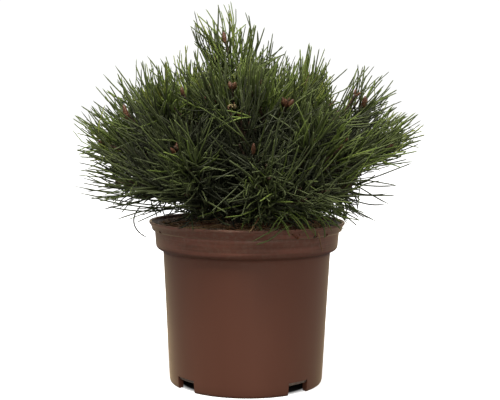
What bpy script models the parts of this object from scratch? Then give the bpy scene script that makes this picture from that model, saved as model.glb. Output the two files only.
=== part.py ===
"""A mugo pine in its nursery pot.

Frame: metres, +Z up, the front of the plant towards -Y. The origin is the middle of the pot's underside.
The pot is a turned shell, the root ball fills it, and a short trunk carries a leader and three loose
whorls of boughs. Each bough ends where its mass of foliage begins, and each mass is a stem that forks
into shoots, with needles fused to them. Every solid keeps a gap of GAP to its neighbours.
"""

import math
import random
from collections import namedtuple

import bpy
import bmesh
import numpy as np
from mathutils import Matrix, Vector

MM = 0.001
GAP = 0.3 * MM
WELD = 0.02 * MM
SHARP_ANGLE = math.radians(35)

# Pot: a three litre nursery container
RIM_RADIUS = 95 * MM
POT_HEIGHT = 157 * MM
WALL = 1.6 * MM
LIP_FOOT_RADIUS = 92 * MM
LIP_FOOT_HEIGHT = 148 * MM
BAND_RADIUS = 89.2 * MM
BAND_TOP = 145.5 * MM
BAND_FOOT_RADIUS = 88 * MM
BAND_FOOT = 132 * MM
LEDGE_HEIGHT = 128 * MM
WALL_TOP_RADIUS = 81.2 * MM
FOOT_RADIUS = 74.7 * MM
FOOT_CHAMFER = 0.9 * MM
CHANNEL_HEIGHT = 7 * MM
PAD_RADIUS = 52 * MM
POT_SIDES = 48

# Drainage notches in the foot, with a rib beside each edge, and the paired oval holes under the lip.
# Angles are in degrees, and the first notch and the pairs are counted from the front.
NOTCH_COUNT = 4
NOTCH_AZIMUTH = 41
NOTCH_HALF_ANGLE = 9.2
NOTCH_HEIGHT = 12 * MM
NOTCH_DEPTH = 14 * MM
RIB_DEPTH = 5.5 * MM
RIB_HALF_ANGLE = 0.6
HOLE_HALF_HEIGHT = 1.7 * MM
HOLE_HALF_WIDTH = 2.4 * MM
HOLE_HEIGHT = 148.9 * MM
HOLE_AZIMUTHS = (48, 170, -67)
HOLE_HALF_ANGLE = 5.2
FRONT = -90

# Root ball
SOIL_EDGE = 149 * MM
SOIL_CROWN = 154 * MM
SOIL_FLAT_RADIUS = 19 * MM

# Trunk: a short stem with a slight lean to the left and back
TRUNK_TOP = 226 * MM
TRUNK_LEAN = Vector((-7 * MM, 4 * MM, 0))
FLARE_RADIUS = 13 * MM
FLARE_HEIGHT = 9 * MM
TRUNK_STRAIGHT = 16 * MM
TRUNK_RADIUS = 9.5 * MM
TRUNK_TIP_RADIUS = 6 * MM
TRUNK_SIDES = 10

# Boughs: the end bud of each, as azimuth from +X in degrees (the front is -90), reach from the pot's
# axis and height in mm, then the height in mm at which the bough leaves the trunk, the number of its
# side shoots and the turn of their fan in degrees
BOUGHS = {
    "leader": (157, 26, 338, 226, 2, 180),
    "upper_left": (-162, 66, 284, 203, 2, 30),
    "upper_front": (-108, 47, 289, 209, 1, -60),
    "upper_front_right": (-59, 70, 274, 203, 2, 20),
    "upper_right": (14, 60, 287, 202, 2, 200),
    "upper_back_right": (66, 40, 302, 210, 1, 240),
    "upper_back_left": (128, 66, 298, 206, 2, 210),
    "left": (-176, 119, 266, 192, 2, 50),
    "left_low": (170, 127, 236, 179, 2, 20),
    "middle_front_left": (-131, 101, 231, 177, 2, 40),
    "middle_front": (-87, 100, 233, 183, 2, 60),
    "middle_front_right": (-38, 106, 230, 178, 2, 10),
    "right": (4, 115, 277, 194, 2, 40),
    "right_low": (6, 144, 241, 183, 2, 15),
    "middle_back_right": (42, 106, 250, 187, 2, 30),
    "middle_back": (90, 99, 252, 183, 2, 0),
    "middle_back_left": (132, 106, 254, 190, 2, 60),
    "skirt_left": (-168, 129, 196, 168, 2, 0),
    "skirt_front_left": (-121, 108, 189, 164, 1, 0),
    "skirt_front": (-80, 113, 188, 170, 1, 180),
    "skirt_front_right": (-50, 114, 193, 164, 1, 180),
    "skirt_right": (-14, 107, 199, 169, 1, 90),
    "skirt_back_right": (36, 124, 198, 164, 1, 0),
    "skirt_back": (84, 115, 194, 170, 2, 0),
    "skirt_back_left": (136, 122, 198, 164, 2, 0),
}
# A bough covers the first BOUGH_SHARE of its line and its end shoot the rest, straight where they meet
BOUGH_RADIUS = 3.2 * MM
BOUGH_TIP_RADIUS = 2.5 * MM
BOUGH_SHARE = 0.42
BENT_SHARE = 0.32
STRAIGHT = 3 * MM
BOUGH_POINTS = 5
BOUGH_SIDES = 6

# How steeply each line ends, in degrees: the lowest buds nearly level, each millimetre of height adds
# STEEPEN, and the highest point nearly straight up
LOW_BUD = 185 * MM
LOW_ELEVATION = 10
STEEPEN = 0.62
MOST_ELEVATION = 82
END_SHARE = 0.55
LEADER_STRAIGHT = 45 * MM

# Shoots: side shoots leave the fork at SIDE_SPREAD degrees and turn up beside the end shoot
FORK_SHARE = 0.58
SHOOT_POINTS = 3
SHOOT_SIDES = 4
SHOOT_RADIUS = 2.4 * MM
SHOOT_TIP_RADIUS = 2.2 * MM
SIDE_LENGTH = 62 * MM
LEADER_SIDE_LENGTH = 31 * MM
SIDE_SPREAD = 46
SIDE_BEND = 0.55
SIDE_END = 0.5
SIDE_LIFT = 0.35
FAN_WOBBLE = 12
SIDE_SEED = 100
UPRIGHT = 0.2
BUD_RADIUS = 2.6 * MM
BUD_LENGTH = 9 * MM
BUD_WAIST = 0.55
BUD_TIP = 0.5 * MM

# Needles: three-sided spikes, fewer and stouter than in life. They open widest at the foot of a shoot.
NEEDLE_LENGTH = 54 * MM
LEADER_NEEDLE = 52 * MM
NEEDLE_RADIUS = 1.05 * MM
NEEDLES_A_SHOOT = 12
NEEDLE_BEARING = 52 * MM
NEEDLE_OPEN = 58
NEEDLE_CLOSED = 21
NEEDLE_WOBBLE = 5
NEEDLE_SINK = 0.15 * MM
NEEDLE_LEAN = 0.3
NEEDLE_CROWDING = 0.75
BARE_SHARE = 0.1
LAST_NEEDLE = 0.95
GOLDEN_ANGLE = 137.508
NEEDLE_SEED = 1000

# Where a needle may grow: tried at full length and then shorter, and swung round its shoot
SHORTER = (1.0, 0.85, 0.7, 0.55)
SWINGS = (0, 55, -55, 110, -110)
ROOT_SHARE = 0.2
CLEAR_SHARE = 0.4
TEST_POINTS = 17
NEEDLE_SPACING = 0.7 * MM
LIMB_CLEARANCE = 1.9 * MM
RIM_CLEARANCE = 2.2 * MM
MASS_CLEARANCE = 0.45 * MM

BARK = (0.115, 0.075, 0.05)
NEEDLE_GREEN = (0.055, 0.095, 0.03)
POT_BROWN = (0.118, 0.05, 0.034)
SOIL_BROWN = (0.035, 0.024, 0.017)

# A shoot's line, the share of it that carries no needles, and its solid
Shoot = namedtuple("Shoot", "line bare solid")


def clear_scene():
    for obj in list(bpy.data.objects):
        bpy.data.objects.remove(obj, do_unlink=True)


def new_collection(name):
    made = bpy.data.collections.new(name)
    bpy.context.scene.collection.children.link(made)
    return made


def material(name, colour, roughness):
    made = bpy.data.materials.new(name)
    made.use_nodes = True
    shader = made.node_tree.nodes["Principled BSDF"]
    shader.inputs["Base Color"].default_value = (*colour, 1)
    shader.inputs["Roughness"].default_value = roughness
    shader.inputs["Metallic"].default_value = 0
    return made


def polar(azimuth, reach, height):
    """A point from its azimuth in degrees, its distance from the axis and its height."""
    turn = math.radians(azimuth)
    return Vector((reach * math.cos(turn), reach * math.sin(turn), height))


def turned(name, profile, finish, collection):
    """A closed turned solid. The profile runs from the axis, up the inner side and down the outer side."""
    mesh = bpy.data.meshes.new(name)
    points = [(radius, 0, height) for radius, height in profile]
    mesh.from_pydata(points, [(i, i + 1) for i in range(len(points) - 1)], [])
    obj = bpy.data.objects.new(name, mesh)
    collection.objects.link(obj)
    screw = obj.modifiers.new("turn", "SCREW")
    screw.steps = POT_SIDES
    screw.render_steps = POT_SIDES
    screw.use_merge_vertices = True
    screw.merge_threshold = 0.00001
    mesh.materials.append(finish)
    return obj


def baked(obj):
    """The object with its modifiers applied."""
    graph = bpy.context.evaluated_depsgraph_get()
    mesh = bpy.data.meshes.new_from_object(obj.evaluated_get(graph))
    obj.modifiers.clear()
    obj.data = mesh
    return obj


def boolean(obj, operation, collection):
    """Joins or cuts obj with every object of the collection, then removes them."""
    cut = obj.modifiers.new(operation.lower(), "BOOLEAN")
    cut.operation = operation
    cut.operand_type = "COLLECTION"
    cut.collection = collection
    cut.solver = "EXACT"
    baked(obj)
    for other in list(collection.objects):
        bpy.data.objects.remove(other, do_unlink=True)


def move_to(obj, collection):
    for old in list(obj.users_collection):
        old.objects.unlink(obj)
    collection.objects.link(obj)


def block(azimuth, radii, width, heights, collection):
    """A box along the radius at that azimuth, between two radii and two heights."""
    inner, outer = radii
    low, high = heights
    bpy.ops.mesh.primitive_cube_add(size=1)
    obj = bpy.context.active_object
    size = Matrix.Diagonal((outer - inner, width, high - low, 1))
    middle = polar(azimuth, (inner + outer) / 2, (low + high) / 2)
    turn = Matrix.Rotation(math.radians(azimuth), 4, "Z")
    obj.data.transform(Matrix.Translation(middle) @ turn @ size)
    move_to(obj, collection)


def drill(azimuth, collection):
    """An oval hole through the foot of the lip at that azimuth."""
    bpy.ops.mesh.primitive_cylinder_add(vertices=10, radius=1, depth=12 * WALL)
    obj = bpy.context.active_object
    turn = Matrix.Rotation(math.radians(azimuth), 4, "Z") @ Matrix.Rotation(math.pi / 2, 4, "Y")
    oval = Matrix.Diagonal((HOLE_HALF_HEIGHT, HOLE_HALF_WIDTH, 1, 1))
    obj.data.transform(Matrix.Translation(polar(azimuth, BAND_RADIUS, HOLE_HEIGHT)) @ turn @ oval)
    move_to(obj, collection)


def pairs_at(places, half_angle):
    """The azimuths of places counted from the front, each with the two angles beside it."""
    return [(FRONT + place, FRONT + place - half_angle, FRONT + place + half_angle) for place in places]


def inner_radius(height):
    """The pot's inner wall radius at a height, below the ledge."""
    share = height / LEDGE_HEIGHT
    return FOOT_RADIUS + (WALL_TOP_RADIUS - FOOT_RADIUS) * share - WALL


def make_pot(collection, finish, cutters):
    """The pot: a thin cup with a flared lip, a deep band, a ledge and a raised channel round its base."""
    floor = CHANNEL_HEIGHT + WALL
    profile = [
        (0, WALL),
        (PAD_RADIUS - WALL, WALL),
        (PAD_RADIUS - WALL, floor),
        (inner_radius(floor), floor),
        (inner_radius(LEDGE_HEIGHT), LEDGE_HEIGHT + WALL),
        (BAND_FOOT_RADIUS - WALL, BAND_FOOT + WALL),
        (BAND_RADIUS - WALL, LIP_FOOT_HEIGHT),
        (RIM_RADIUS - 2 * WALL, POT_HEIGHT),
        (RIM_RADIUS, POT_HEIGHT),
        (LIP_FOOT_RADIUS, LIP_FOOT_HEIGHT),
        (BAND_RADIUS, BAND_TOP),
        (BAND_FOOT_RADIUS, BAND_FOOT),
        (WALL_TOP_RADIUS, LEDGE_HEIGHT),
        (FOOT_RADIUS, FOOT_CHAMFER),
        (FOOT_RADIUS - FOOT_CHAMFER, 0),
        (FOOT_RADIUS - FOOT_CHAMFER - WALL, 0),
        (FOOT_RADIUS - WALL, CHANNEL_HEIGHT),
        (PAD_RADIUS, CHANNEL_HEIGHT),
        (PAD_RADIUS, 0),
        (0, 0),
    ]
    pot = baked(turned("pot", profile, finish, collection))
    middles = [NOTCH_AZIMUTH + 360 * i / NOTCH_COUNT for i in range(NOTCH_COUNT)]
    notches = pairs_at(middles, NOTCH_HALF_ANGLE + RIB_HALF_ANGLE)
    for _, left, right in notches:
        for edge in (left, right):
            radii = (FOOT_RADIUS - RIB_DEPTH, FOOT_RADIUS - WALL / 2)
            block(edge, radii, WALL, (FOOT_CHAMFER, CHANNEL_HEIGHT + WALL / 2), cutters)
    boolean(pot, "UNION", cutters)
    width = 2 * FOOT_RADIUS * math.sin(math.radians(NOTCH_HALF_ANGLE))
    for middle, _, _ in notches:
        radii = (FOOT_RADIUS - NOTCH_DEPTH, FOOT_RADIUS + 4 * WALL)
        block(middle, radii, width, (-WALL, NOTCH_HEIGHT), cutters)
    for _, left, right in pairs_at(HOLE_AZIMUTHS, HOLE_HALF_ANGLE):
        drill(left, cutters)
        drill(right, cutters)
    boolean(pot, "DIFFERENCE", cutters)


def make_root_ball(collection, finish):
    """The compost: it fills the pot with a gap all round, is mounded, and lies flat under the trunk."""
    base = CHANNEL_HEIGHT + WALL + GAP
    profile = [
        (0, base),
        (inner_radius(base) - GAP, base),
        (inner_radius(LEDGE_HEIGHT) - GAP, LEDGE_HEIGHT + WALL + GAP),
        (BAND_FOOT_RADIUS - WALL - 2 * GAP, BAND_FOOT + WALL + GAP),
        (BAND_FOOT_RADIUS - WALL, SOIL_EDGE),
        ((BAND_FOOT_RADIUS + SOIL_FLAT_RADIUS) / 2, (SOIL_EDGE + 2 * SOIL_CROWN) / 3),
        (SOIL_FLAT_RADIUS, SOIL_CROWN),
        (0, SOIL_CROWN),
    ]
    baked(turned("root_ball", profile[::-1], finish, collection))


def tube(name, points, radii, sides, finish, collection):
    """A tapering limb along points: a bevelled curve with filled caps, welded into one closed mesh."""
    curve = bpy.data.curves.new(name, "CURVE")
    curve.dimensions = "3D"
    curve.bevel_depth = 1
    curve.bevel_resolution = sides // 2 - 2
    curve.use_fill_caps = True
    spline = curve.splines.new("POLY")
    spline.points.add(len(points) - 1)
    for point, place, radius in zip(spline.points, points, radii):
        point.co = (*place, 1)
        point.radius = radius
    guide = bpy.data.objects.new(name, curve)
    collection.objects.link(guide)
    graph = bpy.context.evaluated_depsgraph_get()
    mesh = bpy.data.meshes.new_from_object(guide.evaluated_get(graph))
    bpy.data.objects.remove(guide, do_unlink=True)
    shape = bmesh.new()
    shape.from_mesh(mesh)
    bmesh.ops.remove_doubles(shape, verts=shape.verts, dist=WELD)
    shape.to_mesh(mesh)
    shape.free()
    mesh.materials.clear()
    mesh.materials.append(finish)
    obj = bpy.data.objects.new(name, mesh)
    collection.objects.link(obj)
    return obj


def trunk_axis(height):
    """The middle of the trunk at a height: upright at both ends, and leaning between them."""
    low = SOIL_CROWN + FLARE_HEIGHT
    share = min(max((height - low) / (TRUNK_TOP - TRUNK_STRAIGHT - low), 0), 1)
    place = TRUNK_LEAN * share**2 * (3 - 2 * share)
    return Vector((place.x, place.y, height))


def trunk_radius(height):
    flare = max(0.0, 1 - (height - SOIL_CROWN) / FLARE_HEIGHT)
    share = (height - SOIL_CROWN) / (TRUNK_TOP - SOIL_CROWN)
    return TRUNK_RADIUS + (TRUNK_TIP_RADIUS - TRUNK_RADIUS) * share + (FLARE_RADIUS - TRUNK_RADIUS) * flare**2


def make_trunk(name, grown, finish, collection):
    """The trunk, from its flat cut on the compost to its flat tip. grown enlarges it, for a cutter."""
    low = SOIL_CROWN + GAP
    top = TRUNK_TOP + grown
    heights = [low, low + FLARE_HEIGHT / 3, low + 2 * FLARE_HEIGHT / 3, low + FLARE_HEIGHT]
    heights += [low + FLARE_HEIGHT + (top - low - FLARE_HEIGHT) * i / 5 for i in range(1, 6)]
    points = [trunk_axis(h) for h in heights]
    radii = [trunk_radius(h) + grown for h in heights]
    tube(name, points, radii, TRUNK_SIDES, finish, collection)


def curve_point(controls, share):
    """A point of the quadratic curve through three controls."""
    start, bend, end = controls
    return start * (1 - share) ** 2 + bend * 2 * share * (1 - share) + end * share**2


def curve_line(controls, low, high, count):
    return [curve_point(controls, low + (high - low) * i / (count - 1)) for i in range(count)]


def curve_way(controls, share):
    """The direction of the curve at a share of its length."""
    start, bend, end = controls
    return ((bend - start) * (1 - share) + (end - bend) * share).normalized()


def bough_controls(name):
    """The line of a bough and its end shoot: it leaves the trunk at its whorl and sweeps up to its bud."""
    azimuth, reach, height, attach = BOUGHS[name][:4]
    bud = polar(azimuth, reach * MM, height * MM)
    root = trunk_axis(attach * MM)
    if name == "leader":
        root.z += GAP
        return root, root + Vector((0, 0, LEADER_STRAIGHT)), bud
    rise = min(STEEPEN * (bud.z - LOW_BUD) / MM, MOST_ELEVATION - LOW_ELEVATION)
    steep = math.radians(LOW_ELEVATION + rise)
    way = polar(azimuth, math.cos(steep), math.sin(steep))
    return root, bud - way * END_SHARE * (bud - root).length, bud


def side_controls(controls, number, count, turn, full, chance):
    """The line of one side shoot, which leaves the fork at a slant and bends up beside the end shoot."""
    fork = curve_point(controls, FORK_SHARE)
    way = curve_way(controls, FORK_SHARE)
    across = way.cross(Vector((0, 0, 1)))
    across = across.normalized() if across.length > UPRIGHT else Vector((1, 0, 0))
    angle = math.radians(turn + 360 * number / count + chance.uniform(-FAN_WOBBLE, FAN_WOBBLE))
    side = across * math.cos(angle) + across.cross(way) * math.sin(angle)
    spread = math.radians(SIDE_SPREAD)
    length = full * chance.uniform(0.9, 1.05)
    out = way * math.cos(spread) + side * math.sin(spread)
    bend = fork + out * length * SIDE_BEND
    upward = (out + way + Vector((0, 0, SIDE_LIFT))).normalized()
    return fork, bend, bend + upward * length * SIDE_END


def side_lines(index, name):
    """The lines of a bough's side shoots."""
    chance = random.Random(SIDE_SEED + index)
    controls = bough_controls(name)
    count, turn = BOUGHS[name][4:]
    full = LEADER_SIDE_LENGTH if name == "leader" else SIDE_LENGTH
    return [side_controls(controls, i, count, turn, full, chance) for i in range(count)]


def shoot_points(line, low, count):
    """Centre points and radii of a shoot from a share low of its line, with its bud's swelling at the end."""
    way = curve_way(line, 1)
    bud = line[2]
    points = curve_line((line[0], line[1], bud - way * BUD_LENGTH), low, 1, count)
    taper = (SHOOT_TIP_RADIUS - SHOOT_RADIUS) / (count - 1)
    radii = [SHOOT_RADIUS + taper * i for i in range(count)]
    points += [bud - way * BUD_LENGTH * BUD_WAIST, bud]
    return points, radii + [BUD_RADIUS, BUD_TIP]


def side_points(line):
    return shoot_points(line, 0, SHOOT_POINTS)


def stem_points(controls):
    """Centre points and radii of a mass's own stem, whose foot faces the bough's tip across a gap."""
    joint = curve_point(controls, BOUGH_SHARE)
    way = curve_way(controls, BOUGH_SHARE)
    points, radii = shoot_points(controls, (1 + BOUGH_SHARE) / 2, SHOOT_POINTS - 1)
    feet = [joint + way * GAP, joint + way * (GAP + STRAIGHT)]
    return feet + points, [SHOOT_RADIUS] * 2 + radii


def segments_of(points, radii, owner):
    """The straight stretches between points, each with its larger radius and its owner."""
    ends = zip(points[:-1], points[1:], radii[:-1], radii[1:])
    return [(tuple(a), tuple(b), max(r, s), owner) for a, b, r, s in ends]


def clearances(points, segments):
    """The distance from each point to the surface of each segment."""
    start = np.array([s[0] for s in segments])
    way = np.array([s[1] for s in segments]) - start
    radius = np.array([s[2] for s in segments])
    rel = points[:, None, :] - start
    share = np.clip((rel * way).sum(2) / (way**2).sum(1), 0, 1)
    return np.linalg.norm(rel - share[..., None] * way, axis=2) - radius


class Space:
    """The limbs, the shoots and their owners, and the needles so far of the mass that is growing."""

    def __init__(self, limbs, shoots):
        self.limbs = limbs
        self.shoots = shoots
        self.owner = np.array([s[3] for s in shoots])
        self.needles = []

    def clear_of_pot(self, points):
        # Needles stay above the rim or hang outside it
        over = points[:, 2] > POT_HEIGHT + RIM_CLEARANCE
        beside = np.hypot(points[:, 0], points[:, 1]) > RIM_RADIUS + RIM_CLEARANCE
        return (over | beside).all()

    def clear_of_shoots(self, points, shares, owner):
        """A needle stays nearer to its own mass's shoots than to any other, and off them beyond its root."""
        gaps = clearances(points, self.shoots)
        own = gaps[:, self.owner == owner].min(1)
        other = gaps[:, self.owner != owner].min(1)
        thickness = 2 * NEEDLE_RADIUS * (1 - shares)
        free = shares > CLEAR_SHARE
        return (own[free] > thickness[free]).all() and (other - own > thickness + MASS_CLEARANCE).all()

    def fits(self, root, way, length, owner):
        """Whether a needle keeps to its mass's space and off the pot, the limbs and the needles beside it."""
        shares = np.linspace(ROOT_SHARE, 1, TEST_POINTS)
        points = np.array(root) + np.array(way) * length * shares[:, None]
        if not self.clear_of_pot(points) or clearances(points, self.limbs).min() < LIMB_CLEARANCE:
            return False
        if self.needles and clearances(points, self.needles).min() < NEEDLE_SPACING:
            return False
        return self.clear_of_shoots(points, shares, owner)

    def take(self, root, way, length, owner):
        """Keeps the room of a needle that has grown."""
        ends = [root + way * NEEDLE_RADIUS, root + way * length]
        self.needles += segments_of(ends, [NEEDLE_RADIUS / 2] * 2, owner)


def needle_aims(shoot, number, chance):
    """The ways in which one needle may leave its shoot, as root, direction and side, the best one first.

    Needles wind round the shoot at the golden angle and close towards its tip. Each comes out of the middle
    of the nearest flat side, with its base just under the surface.
    """
    start, bend, bud = shoot.line
    line = (start, bend, bud - curve_way(shoot.line, 1) * BUD_LENGTH)
    length = (line[2] - bend).length + (bend - start).length
    first = max(shoot.bare + BARE_SHARE, 1 - NEEDLE_BEARING / length)
    share = number / (NEEDLES_A_SHOOT - 1)
    along = first + (LAST_NEEDLE - first) * share**NEEDLE_CROWDING
    opening = NEEDLE_OPEN + (NEEDLE_CLOSED - NEEDLE_OPEN) * share
    opening = math.radians(opening + chance.uniform(-NEEDLE_WOBBLE, NEEDLE_WOBBLE))
    middle = curve_point(line, along)
    way = curve_way(line, along)
    for swing in SWINGS:
        turn = Matrix.Rotation(math.radians(GOLDEN_ANGLE * number + swing), 3, way)
        across = turn @ way.orthogonal().normalized()
        face = shoot.solid.closest_point_on_mesh(middle + across * 3 * SHOOT_RADIUS)[2]
        side = (face - way * face.dot(way)).normalized()
        surface = shoot.solid.closest_point_on_mesh(middle + side * 3 * SHOOT_RADIUS)[1]
        lean = (side + across * NEEDLE_LEAN).normalized()
        out = way * math.cos(opening) + lean * math.sin(opening)
        sink = (NEEDLE_RADIUS * math.cos(opening) + NEEDLE_SINK) / out.dot(side)
        yield surface - out * sink, out, side


def add_needle(root, way, side, length, finish, collection):
    """One needle: a three-sided spike that narrows to its point, with one edge turned off the shoot."""
    shape = bmesh.new()
    bmesh.ops.create_cone(shape, cap_ends=True, segments=3, radius1=NEEDLE_RADIUS, radius2=0, depth=length)
    bmesh.ops.remove_doubles(shape, verts=shape.verts, dist=WELD)
    width = way.cross(side).normalized()
    turn = Matrix((width, way.cross(width), way)).transposed().to_4x4()
    shape.transform(Matrix.Translation(root + way * length / 2) @ turn)
    mesh = bpy.data.meshes.new("needle")
    shape.to_mesh(mesh)
    shape.free()
    mesh.materials.append(finish)
    collection.objects.link(bpy.data.objects.new("needle", mesh))


def grow_needles(shoot, full, owner, space, finish, collection):
    """Adds a shoot's needles, each at the longest length and the best way in which it fits."""
    chance = random.Random(NEEDLE_SEED + len(space.needles) + 100 * owner)
    for number in range(NEEDLES_A_SHOOT):
        aims = list(needle_aims(shoot, number, chance))
        tries = [(root, way, full * share, side) for share in SHORTER for root, way, side in aims]
        for root, way, length, side in tries:
            if space.fits(root, way, length, owner):
                add_needle(root, way, side, length, finish, collection)
                space.take(root, way, length, owner)
                break


def make_foliage(index, name, space, finish, collection, twigs):
    """One mass: its stem and shoots, and the needles that fit in its own space, joined into one solid."""
    controls = bough_controls(name)
    mass = tube("foliage_" + name, *stem_points(controls), SHOOT_SIDES, finish, collection)
    shoots = [Shoot(controls, BOUGH_SHARE, mass)]
    for line in side_lines(index, name):
        twig = tube("side_shoot", *side_points(line), SHOOT_SIDES, finish, twigs)
        shoots.append(Shoot(line, 0, twig))
    space.needles = []
    for shoot in shoots:
        full = LEADER_NEEDLE if name == "leader" else NEEDLE_LENGTH
        grow_needles(shoot, full, index, space, finish, twigs)
    boolean(mass, "UNION", twigs)


def make_bough(index, name, finish, collection, cutters):
    """One bough, from the trunk's surface to where its foliage begins."""
    controls = bough_controls(name)
    tip = curve_point(controls, BOUGH_SHARE)
    points = curve_line(controls, 0, BENT_SHARE, BOUGH_POINTS - 2)
    points += [tip - curve_way(controls, BOUGH_SHARE) * STRAIGHT, tip]
    taper = (BOUGH_TIP_RADIUS - BOUGH_RADIUS) / (BOUGH_POINTS - 1)
    radii = [BOUGH_RADIUS + taper * i for i in range(BOUGH_POINTS)]
    bough = tube("bough_" + name, points, radii, BOUGH_SIDES, finish, collection)
    if name != "leader":
        make_trunk("trunk_clearance", GAP, finish, cutters)
        boolean(bough, "DIFFERENCE", cutters)
    return segments_of(points, radii, index)


def shade_round(collection):
    """Smooth shading on every piece, with the edges sharper than SHARP_ANGLE kept crisp."""
    for obj in collection.objects:
        obj.data.shade_smooth()
        obj.data.set_sharp_from_angle(angle=SHARP_ANGLE)


def make_plant():
    clear_scene()
    plant = new_collection("mugo_pine")
    helpers = new_collection("helpers")
    bark = material("bark", BARK, 0.85)
    green = material("needles", NEEDLE_GREEN, 0.5)
    make_pot(plant, material("pot_plastic", POT_BROWN, 0.42), helpers)
    make_root_ball(plant, material("compost", SOIL_BROWN, 0.95))
    make_trunk("trunk", 0, bark, plant)
    heights = np.linspace(SOIL_CROWN, TRUNK_TOP, 6)
    limbs = segments_of([trunk_axis(h) for h in heights], [trunk_radius(h) for h in heights], -1)
    shoots = []
    for index, name in enumerate(BOUGHS):
        limbs += make_bough(index, name, bark, plant, helpers)
        shoots += segments_of(*stem_points(bough_controls(name)), index)
        for line in side_lines(index, name):
            shoots += segments_of(*side_points(line), index)
    space = Space(limbs, shoots)
    for index, name in enumerate(BOUGHS):
        make_foliage(index, name, space, green, plant, helpers)
    bpy.data.collections.remove(helpers)
    shade_round(plant)


make_plant()
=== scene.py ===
import random
from math import cos, radians, sin, sqrt, tan, tau

import bpy
import numpy as np
from mathutils import Matrix, Vector
from numpy.linalg import norm


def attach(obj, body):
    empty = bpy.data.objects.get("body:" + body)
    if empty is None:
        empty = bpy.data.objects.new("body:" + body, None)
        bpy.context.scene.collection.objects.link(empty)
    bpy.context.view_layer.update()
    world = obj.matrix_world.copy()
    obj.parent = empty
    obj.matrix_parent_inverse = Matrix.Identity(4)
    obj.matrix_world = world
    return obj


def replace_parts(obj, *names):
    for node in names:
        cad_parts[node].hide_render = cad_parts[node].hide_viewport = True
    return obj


# A mugo pine in a brown nursery pot. Metres, +Z up, the front towards -Y, the pot on the origin.
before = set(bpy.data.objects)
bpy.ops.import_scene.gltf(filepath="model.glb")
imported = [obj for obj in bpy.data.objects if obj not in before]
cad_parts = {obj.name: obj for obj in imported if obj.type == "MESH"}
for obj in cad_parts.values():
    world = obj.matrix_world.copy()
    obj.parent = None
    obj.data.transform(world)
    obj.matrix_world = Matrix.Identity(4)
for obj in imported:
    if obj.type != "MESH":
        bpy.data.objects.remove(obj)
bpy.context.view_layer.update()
mm = 0.001
white = (1, 1, 1, 1)
seeded = np.random.default_rng
golden = radians(137.508)  # from each needle or scale to the next


# objects, nodes and materials

def linear(hexColour):
    # sRGB hex to linear light: c/12.92 up to 0.04045, ((c + 0.055)/1.055)^2.4 above
    part = np.array([int(hexColour[i:i + 2], 16) for i in (1, 3, 5)]) / 255
    bright = ((part + 0.055) / 1.055) ** 2.4
    return (*np.where(part <= 0.04045, part / 12.92, bright).tolist(), 1.0)


def newObject(name, data):
    made = bpy.data.objects.new(name, data)
    bpy.context.scene.collection.objects.link(made)
    return made


def feed(tree, node, **sockets):
    # each socket takes a value, a node's first output, or (node, output). i2 is input number 2
    for name, value in sockets.items():
        socket = node.inputs[int(name[1:]) if name[1:].isdigit() else name.replace("_", " ")]
        source = value if isinstance(value, tuple) else (value, 0)
        if isinstance(source[0], bpy.types.Node):
            tree.links.new(source[0].outputs[source[1]], socket)
        else:
            socket.default_value = value
    return node


def addNode(tree, kind, settings=None, **sockets):
    made = tree.nodes.new("ShaderNode" + kind)
    for name, value in (settings or {}).items():
        setattr(made, name, value)
    return feed(tree, made, **sockets)


def mapped(tree, source, low, high, start=0.0, end=1.0):
    # carries low..high to start..end in a straight line, held at both ends
    return addNode(tree, "MapRange", Value=source, i1=low, i2=high, i3=start, i4=end)


def maths(tree, operation, first, second):
    return addNode(tree, "Math", {"operation": operation}, i0=first, i1=second)


def noise(tree, place, scale, **more):
    return addNode(tree, "TexNoise", Vector=place, Scale=scale, **more)


def blend(tree, share, first, second):
    return addNode(tree, "MixRGB", Fac=share, Color1=first, Color2=second)


def ramp(tree, source, stops):
    # a colour ramp fed by a value: stops are (position, hex colour)
    made = addNode(tree, "ValToRGB", Fac=source)
    band = made.color_ramp
    while len(band.elements) < len(stops):
        band.elements.new(0.5)
    for element, (position, colour) in zip(band.elements, stops):
        element.position = position
        element.color = linear(colour)
    return made


def bumped(tree, shader, source, distance, strength=1.0):
    # relief of a real height from a value
    feed(tree, shader, Normal=addNode(tree, "Bump", Height=source, Distance=distance, Strength=strength))


def newMaterial(name, roughness, ior=1.5):
    # a Principled material, with Object coordinates to feed its patterns
    material = bpy.data.materials.new(name)
    material.use_nodes = True
    tree = material.node_tree
    shader = feed(tree, tree.nodes["Principled BSDF"], Roughness=roughness, IOR=ior)
    return material, tree, shader, (addNode(tree, "TexCoord"), "Object")


def patterned(name, roughness, ior, kind, scale, stops, relief=0, **more):
    # a material coloured by one pattern, and raised by it where it has relief
    material, tree, shader, place = newMaterial(name, roughness, ior)
    pattern = addNode(tree, kind, Vector=place, Scale=scale, **more)
    feed(tree, shader, Base_Color=ramp(tree, pattern, stops))
    if relief:
        bumped(tree, shader, pattern, relief)
    return material


# camera, light and floor

cameraForm = dict(place=(0, -0.996, 0.2571), tiltDown=4.62, roll=0.45, focalPixels=1027, shiftPixels=2.82, width=500,
    sensor=36)
lightForm = dict(skyBehind=1.05, skyFront=0.45, skyBelow=0.12, skySeen=1.05, backwards=(-0.8, 0.6),
    horizon=(-0.25, 0.05), colour="#FFF9F0", aim=(0, 0, 0.2))
# each softbox: place, side in metres, watts
softboxes = {"key softbox": ((-0.2, -0.82, 2.0), 0.8, 51), "fill softbox": ((0.3, -1.5, 0.55), 0.5, 3.8)}
# shade: the reaches in metres over which the floor's painted shadow under the pot gives way to white
floorForm = dict(half=30, shade=(0.064, 0.071), lit=0.62, bounce="#5C5C5C")


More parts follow.
